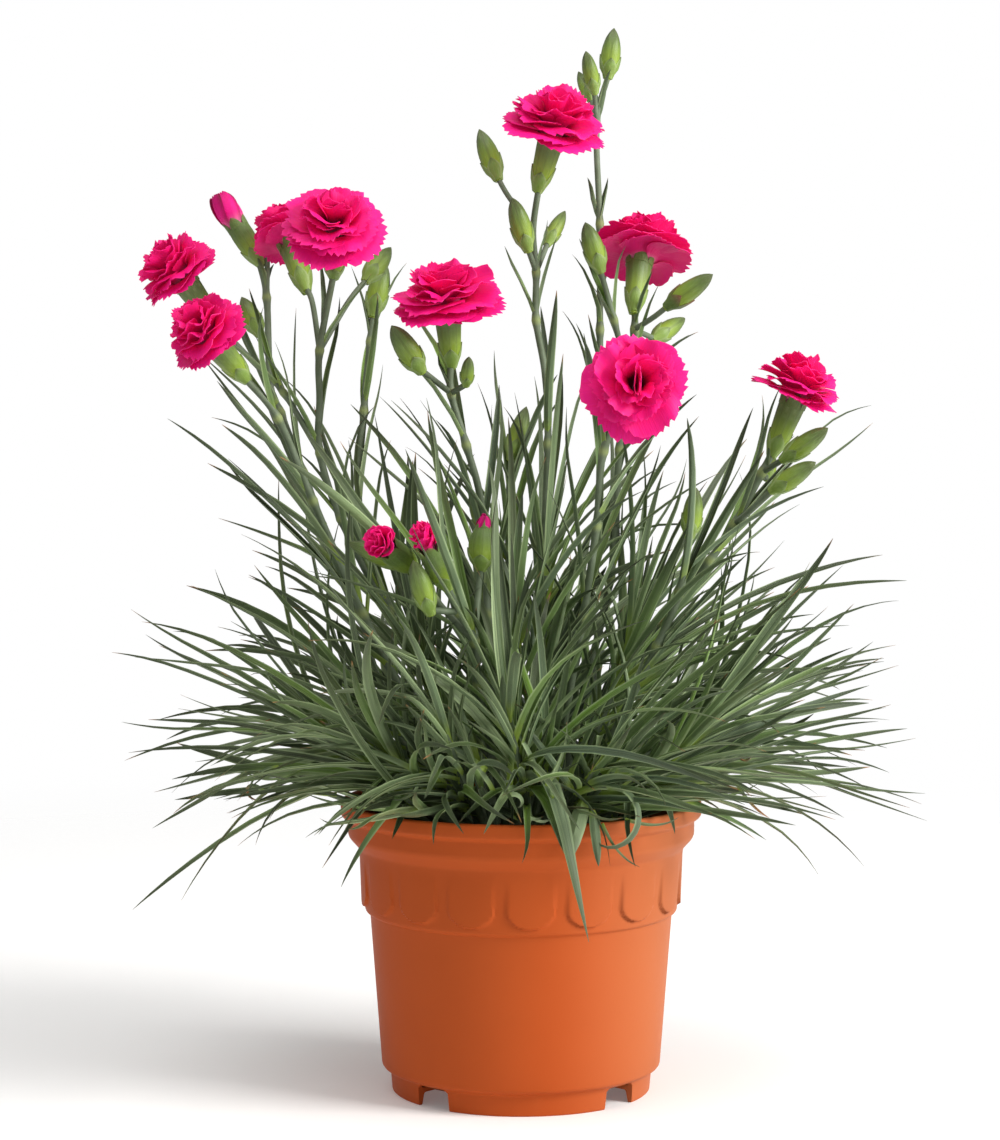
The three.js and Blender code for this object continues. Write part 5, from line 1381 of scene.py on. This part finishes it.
def leafLook():
    look = newLook("glaucous leaf")
    along, across, tone = look.mark("along"), look.mark("across"), look.mark("tone")
    under, age = look.mark("under"), look.mark("depth")
    blotch = look.noise(look.place(), 55.0, 2.0)
    veins = look.noise(look.vector(across * 5, along * 1.4, tone * 40), 2.2, 3.0)
    dry = along.step(0.93, 1) * tone.step(0.45, 0.7) * 0.8 + age.step(0.55, 0.95) * along.step(0.2, 0.9)
    shade = look.mix((tone * 0.7 + blotch * 0.6 - 0.25).step(0.1, 0.9), leafFinish["blue"],
                     leafFinish["green"])
    shade = look.cover(shade, leafFinish, (
        # painted light: leaves on the left of the plant are tinted olive, as light shining through them from
        # behind would tint them
        ("paintedBacklitOlive", look.side(-0.07, 0.01, True) * 0.45),
        ("deep", look.lot(tone).step(0.3, 0.95) * 0.85),
        ("fresh", look.lot(tone + 3).step(0.6, 0.9) * (1 - along.step(0.4, 1)) * 0.75),
        ("pale", look.lot(tone + 7).step(0.55, 1) * 0.5),
        # painted shade down the channel of the folded blade
        ("deep", (1 - abs(across).step(0.1, 0.7)) * (1 - under) * 0.35),  # down the channel
        ("pale", veins.step(0.45, 0.75) * 0.35),
        ("deep", (1 - veins.step(0.3, 0.5)) * 0.4),
        ("pale", (1 - age.step(-0.9, -0.1)) * 0.6),
        ("under", under.step(0.4, 1) * 0.5),
        # Pale edges and midrib: the margins are pale, and along the edges this is also a painted highlight.
        ("pale", abs(across).step(0.68, 0.95) * 0.7 + (1 - abs(across).step(0, 0.14)) * 0.14),
        ("base", (1 - along.step(0.01, 0.2)) * 0.85),
        ("tip", along.step(0.4, 1.0) * 0.75),
        ("dry", dry.step(0, 1))))
    return look.finish(Base_Color=shade, Roughness=veins * 0.2 + (leafFinish["roughness"] - 0.1),
                       Normal=look.bump(veins, 0.35, 0.0004), Specular_IOR_Level=leafFinish["sheen"])


stemFinish = {"low": colour(82, 98, 70), "high": colour(98, 110, 86), "joint": colour(148, 162, 98),
              "dusty": colour(140, 152, 132), "roughness": 0.55, "sheen": 0.35}


def stemLook():
    look = newLook("grey green stem")
    joint, height, tone = look.mark("along"), look.mark("depth"), look.mark("tone")
    grain = look.noise(look.place(), 160.0, 3.0)
    shade = look.mix(height, stemFinish["low"], stemFinish["high"])
    shade = look.cover(shade, stemFinish, (
        ("dusty", grain.step(0.35, 0.8) * 0.4 + tone * 0.12),
        ("joint", joint.step(0.25, 1) * 0.7)))
    return look.finish(Base_Color=shade, Roughness=grain * 0.2 + (stemFinish["roughness"] - 0.1),
                       Normal=look.bump(grain, 0.25, 0.0004), Specular_IOR_Level=stemFinish["sheen"])


budFinish = {"low": colour(140, 166, 50), "high": colour(92, 116, 56), "scale": colour(128, 156, 78),
             "tip": colour(64, 66, 40), "red": colour(132, 60, 62), "pale": colour(180, 198, 138),
             "roughness": 0.42, "sheen": 0.4}


def budLook():
    look = newLook("bud green")
    along, across, tone = look.mark("along"), look.mark("across"), look.mark("tone")
    kind = look.mark("depth")
    grain = look.noise(look.vector(across * 3, along * 2, tone * 30), 3.0, 3.0)
    isScale = kind.step(0.7, 0.9)
    isTooth = isScale * tone.step(0.88, 0.92)
    shade = look.mix(along.step(0.15, 0.85), budFinish["low"], budFinish["high"])
    shade = look.cover(shade, budFinish, (
        ("tip", (1 - isScale) * across.step(0.6, 1) * 0.3),
        ("tip", (1 - isScale) * along.step(0.55, 1.05) * (1 - kind.step(0.2, 0.4)) * 0.75),
        ("scale", isScale * 0.7),
        ("pale", isScale * abs(across).step(0.55, 1) * 0.45),
        ("tip", isScale * along.step(0.6, 1.0) * 0.6),
        ("high", isTooth),
        ("red", isTooth * along.step(0.35, 1) * 0.75),
        ("pale", grain.step(0.4, 0.8) * 0.2)))
    return look.finish(Base_Color=shade, Roughness=grain * 0.2 + (budFinish["roughness"] - 0.1),
                       Normal=look.bump(grain, 0.3, 0.0004), Specular_IOR_Level=budFinish["sheen"])


petalFinish = {"bright": colour(240, 22, 134), "inner": colour(228, 8, 88), "heart": colour(84, 0, 22),
               "edge": colour(250, 60, 144), "under": colour(222, 24, 112), "claw": colour(232, 158, 186),
               "roughness": 0.55, "sheen": 0.2, "glow": 0.05, "through": 0.2}


def petalLook():
    look = newLook("pink petal")
    along, across, tone = look.mark("along"), look.mark("across"), look.mark("tone")
    under, inner = look.mark("under"), look.mark("depth")
    veins = look.noise(look.vector(across * 8, along * 0.9, tone * 50), 2.6, 3.0)
    shade = look.mix(along.step(0.4, 0.95) * (1 - inner * 0.45), petalFinish["inner"], petalFinish["bright"])
    shade = look.cover(shade, petalFinish, (
        ("inner", veins.step(0.4, 0.8) * 0.4 + tone * 0.15),
        ("edge", along.step(0.93, 1) * 0.5),
        ("heart", (1 - (along - inner * 0.14).step(0.24, 0.6)) * 0.92)))
    back = look.mix(1 - along.step(0.24, 0.5), petalFinish["under"], petalFinish["claw"])
    back = look.mix(veins.step(0.4, 0.8) * 0.4, back, petalFinish["inner"])
    shade = look.mix(under * (1 - inner * 0.7) * 0.9, shade, back)
    # Rolled petals darken towards their tips, which is their colour, and at their edges, which is painted
    # shade where they tuck into each other.
    fold = abs(across).step(0.5, 1) * 0.55 + along.step(0.72, 1) * 0.4
    rolled = look.mix(along.step(0.45, 0.7), petalFinish["claw"], petalFinish["bright"])
    rolled = look.mix(fold, rolled, petalFinish["heart"])
    shade = look.mix(inner.step(1.2, 1.8), shade, rolled)
    # The petals glow a little: painted light that lifts their shade, as light passing through thin petals
    # would.
    return look.finish(Base_Color=shade, Roughness=petalFinish["roughness"],
                       Normal=look.bump(veins, 0.35, 0.0005),
                       Specular_IOR_Level=petalFinish["sheen"], Emission_Color=shade,
                       Emission_Strength=petalFinish["glow"], Subsurface_Weight=petalFinish["through"],
                       Subsurface_Radius=(0.002, 0.0006, 0.001), Subsurface_Scale=1.0)


# Two of these colours are painted light: a paler one for a highlight on the pot's right side, and a dark one
# for shade along the tongues' edges.
potFinish = {"body": colour(178, 80, 34), "worn": colour(168, 72, 28), "chalk": colour(196, 104, 58),
             "paintedHighlight": colour(182, 112, 72), "groove": colour(96, 36, 14), "roughness": 0.5, "sheen": 0.07}


def potLook():
    look = newLook("terracotta plastic")
    place = look.place()
    cloud, speck = look.noise(place, 14.0, 3.0), look.noise(place, 700.0, 2.0)
    rubbed = look.noise(look.node("Mapping", {}, {"Vector": place, "Scale": (1, 1, 0.18)}), 90.0, 4.0)
    shade = look.mix(cloud.step(0.3, 0.75) * 0.5, potFinish["body"], potFinish["worn"])
    shade = look.cover(shade, potFinish, (
        # painted highlight: the right side of the pot is paler, as the key light's broad reflection would
        # make it
        ("paintedHighlight", look.side(0.005, 0.062) * 0.75),
        ("chalk", rubbed.step(0.6, 0.85) * 0.14),
        # painted shade along the tongues' left edges, strongest on the pot's right side, which is lit from
        # the right
        ("groove", look.mark("depth") * (look.side(0.0, 0.035) * 0.65 + 0.15))))
    return look.finish(Base_Color=shade,
                       Roughness=cloud * 0.12 + speck * 0.08 + (potFinish["roughness"] - 0.1),
                       Normal=look.bump(speck * 0.6 + rubbed * 0.4, 0.12, 0.0003),
                       Specular_IOR_Level=potFinish["sheen"])


compostFinish = {"dark": colour(38, 28, 22), "brown": colour(84, 62, 44), "straw": colour(142, 112, 76),
                 "roughness": 0.95, "sheen": 0.2}


def compostLook():
    look = newLook("fibrous compost")
    bits, tone, shape = look.mark("under"), look.mark("tone"), look.mark("across")
    place = look.place()
    coarse, fine = look.noise(place, 260.0, 4.0), look.noise(place, 900.0, 3.0)
    lumps = (coarse * 0.8 + shape * 0.25).step(0.3, 0.7)
    shade = look.mix(lumps, compostFinish["dark"], compostFinish["brown"])
    shade = look.cover(shade, compostFinish, (
        ("brown", bits * tone),
        ("straw", bits * tone.step(0.55, 0.9) * 0.7)))
    return look.finish(Base_Color=shade, Roughness=compostFinish["roughness"],
                       Specular_IOR_Level=compostFinish["sheen"],
                       Normal=look.bump(coarse * 0.6 + fine * 0.4, 0.8, 0.0012))


barkFinish = {"ridge": colour(134, 104, 70), "furrow": colour(58, 42, 28), "roughness": 0.9, "sheen": 0.2}


def barkLook():
    look = newLook("woody base")
    place = look.node("Mapping", {}, {"Vector": look.place(), "Scale": (1, 1, 0.3)})
    ridge = look.noise(place, 420.0, 5.0, 0.65)
    shade = look.mix(ridge.step(0.3, 0.7), barkFinish["furrow"], barkFinish["ridge"])
    return look.finish(Base_Color=shade, Roughness=barkFinish["roughness"],
                       Specular_IOR_Level=barkFinish["sheen"],
                       Normal=look.bump(ridge, 0.9, 0.0015))


finishes = {"leaf": leafLook(), "stem": stemLook(), "bud": budLook(), "petal": petalLook(),
            "pot": potLook(), "compost": compostLook(), "bark": barkLook()}
print("finishes made:", len(finishes))

buildPot([finishes["pot"]])
print("pot made")
buildCompost([finishes["compost"]])
buildRootstock([finishes["bark"]])
print("compost and woody base made")
leafy = [finishes["leaf"], finishes["stem"]]
for shoot in shoots:
    buildShoot(shoot, leafy, shoot["name"], shoot["name"].replace("shoot", "leafy_shoot"))
for shoot in fillers:
    buildShoot(shoot, leafy, None, shoot["name"].replace("filler", "side_shoot"))
print("shoots made")
for stem in stems:
    buildFlowerStem(stem, [finishes["stem"], finishes["leaf"], finishes["bud"]])
print("flower stems made")
for number, plan in enumerate([plan for stem in stems for plan in stem["calyces"]], 1):
    buildBloom(number, plan, [finishes["petal"]])
print("blooms made")

# The floor fades out around the plant. The camera sees the sky at its own strength, and the fill lights the
# plant.
studio = {"floor": {"radius": 1.0, "sides": 96, "fadeFrom": 0.3, "fadeTo": 0.85, "greys": (240, 246),
                    "grain": 300.0,
                    "roughness": 0.8, "sheen": 0.1, "glow": 0.12},
          "sky": 1.0, "fill": 0.42, "white": (1, 1, 1, 1), "warm": (1, 0.98, 0.95), "aim": (0, 0, 0.15),
          "lamps": {"key": {"power": 30, "place": (1.3, -0.62, 1.0), "size": 0.7},
                    "side": {"power": 6, "place": (1.25, -0.55, 0.2), "size": 0.7},
                    "top": {"power": 12, "place": (-0.1, -0.45, 1.6), "size": 1.0}}}
view = {"place": (-0.007, -1.050, 0.245), "pitch": 86.1, "lens": 100.3, "sensor": 36}


def buildFloor():
    form = studio["floor"]
    mesh = bpy.data.meshes.new("floor")
    turns = [i * 2 * math.pi / form["sides"] for i in range(form["sides"])]
    rim = [(form["radius"] * math.cos(turn), form["radius"] * math.sin(turn), 0) for turn in turns]
    mesh.from_pydata(rim, [], [list(range(form["sides"]))])
    floor = bpy.data.objects.new("floor", mesh)
    bpy.context.scene.collection.objects.link(floor)
    look = newLook("pale floor")
    darker, paler = [colour(grey, grey, grey) for grey in form["greys"]]
    shade = look.mix(look.noise(look.place(), form["grain"], 2.0), darker, paler)
    look.finish(Base_Color=shade, Roughness=form["roughness"], Specular_IOR_Level=form["sheen"],
                Emission_Color=studio["white"], Emission_Strength=form["glow"])
    away = look.node("VectorMath", {"operation": "LENGTH"}, {0: look.place()}, "Value")
    faded = away.step(form["fadeFrom"], form["fadeTo"])
    clear = look.node("BsdfTransparent", {}, {})
    surface = look.node("MixShader", {}, {0: faded, 1: Wire(look, look.shader.outputs[0]), 2: clear})
    look.feed(look.tree.nodes["Material Output"].inputs["Surface"], surface)
    mesh.materials.append(look.owner)


def buildLight():
    world = Look(bpy.data.worlds.new("studio"))
    bpy.context.scene.world = world.owner
    world.tree.nodes.clear()
    fill, sky = [world.node("Background", {}, {"Color": studio["white"], "Strength": studio[name]})
                 for name in ("fill", "sky")]
    seen = world.node("LightPath", {}, {}, "Is Camera Ray")
    world.node("OutputWorld", {}, {"Surface": world.node("MixShader", {}, {0: seen, 1: fill, 2: sky})})
    for name, plan in studio["lamps"].items():
        light = bpy.data.lights.new(name, "AREA")
        light.energy, light.size, light.color = plan["power"], plan["size"], studio["warm"]
        lamp = bpy.data.objects.new(name, light)
        lamp.location = plan["place"]
        lamp.rotation_euler = (Vector(studio["aim"]) - lamp.location).to_track_quat("-Z", "Y").to_euler()
        bpy.context.scene.collection.objects.link(lamp)


def buildCamera():
    lens = bpy.data.cameras.new("camera")
    lens.lens, lens.sensor_width = view["lens"], view["sensor"]
    camera = bpy.data.objects.new("camera", lens)
    camera.location = view["place"]
    camera.rotation_euler = (math.radians(view["pitch"]), 0, 0)
    bpy.context.scene.collection.objects.link(camera)
    bpy.context.scene.camera = camera


buildFloor()
buildLight()
buildCamera()
bpy.context.scene.view_settings.view_transform = "Standard"
print("studio ready")
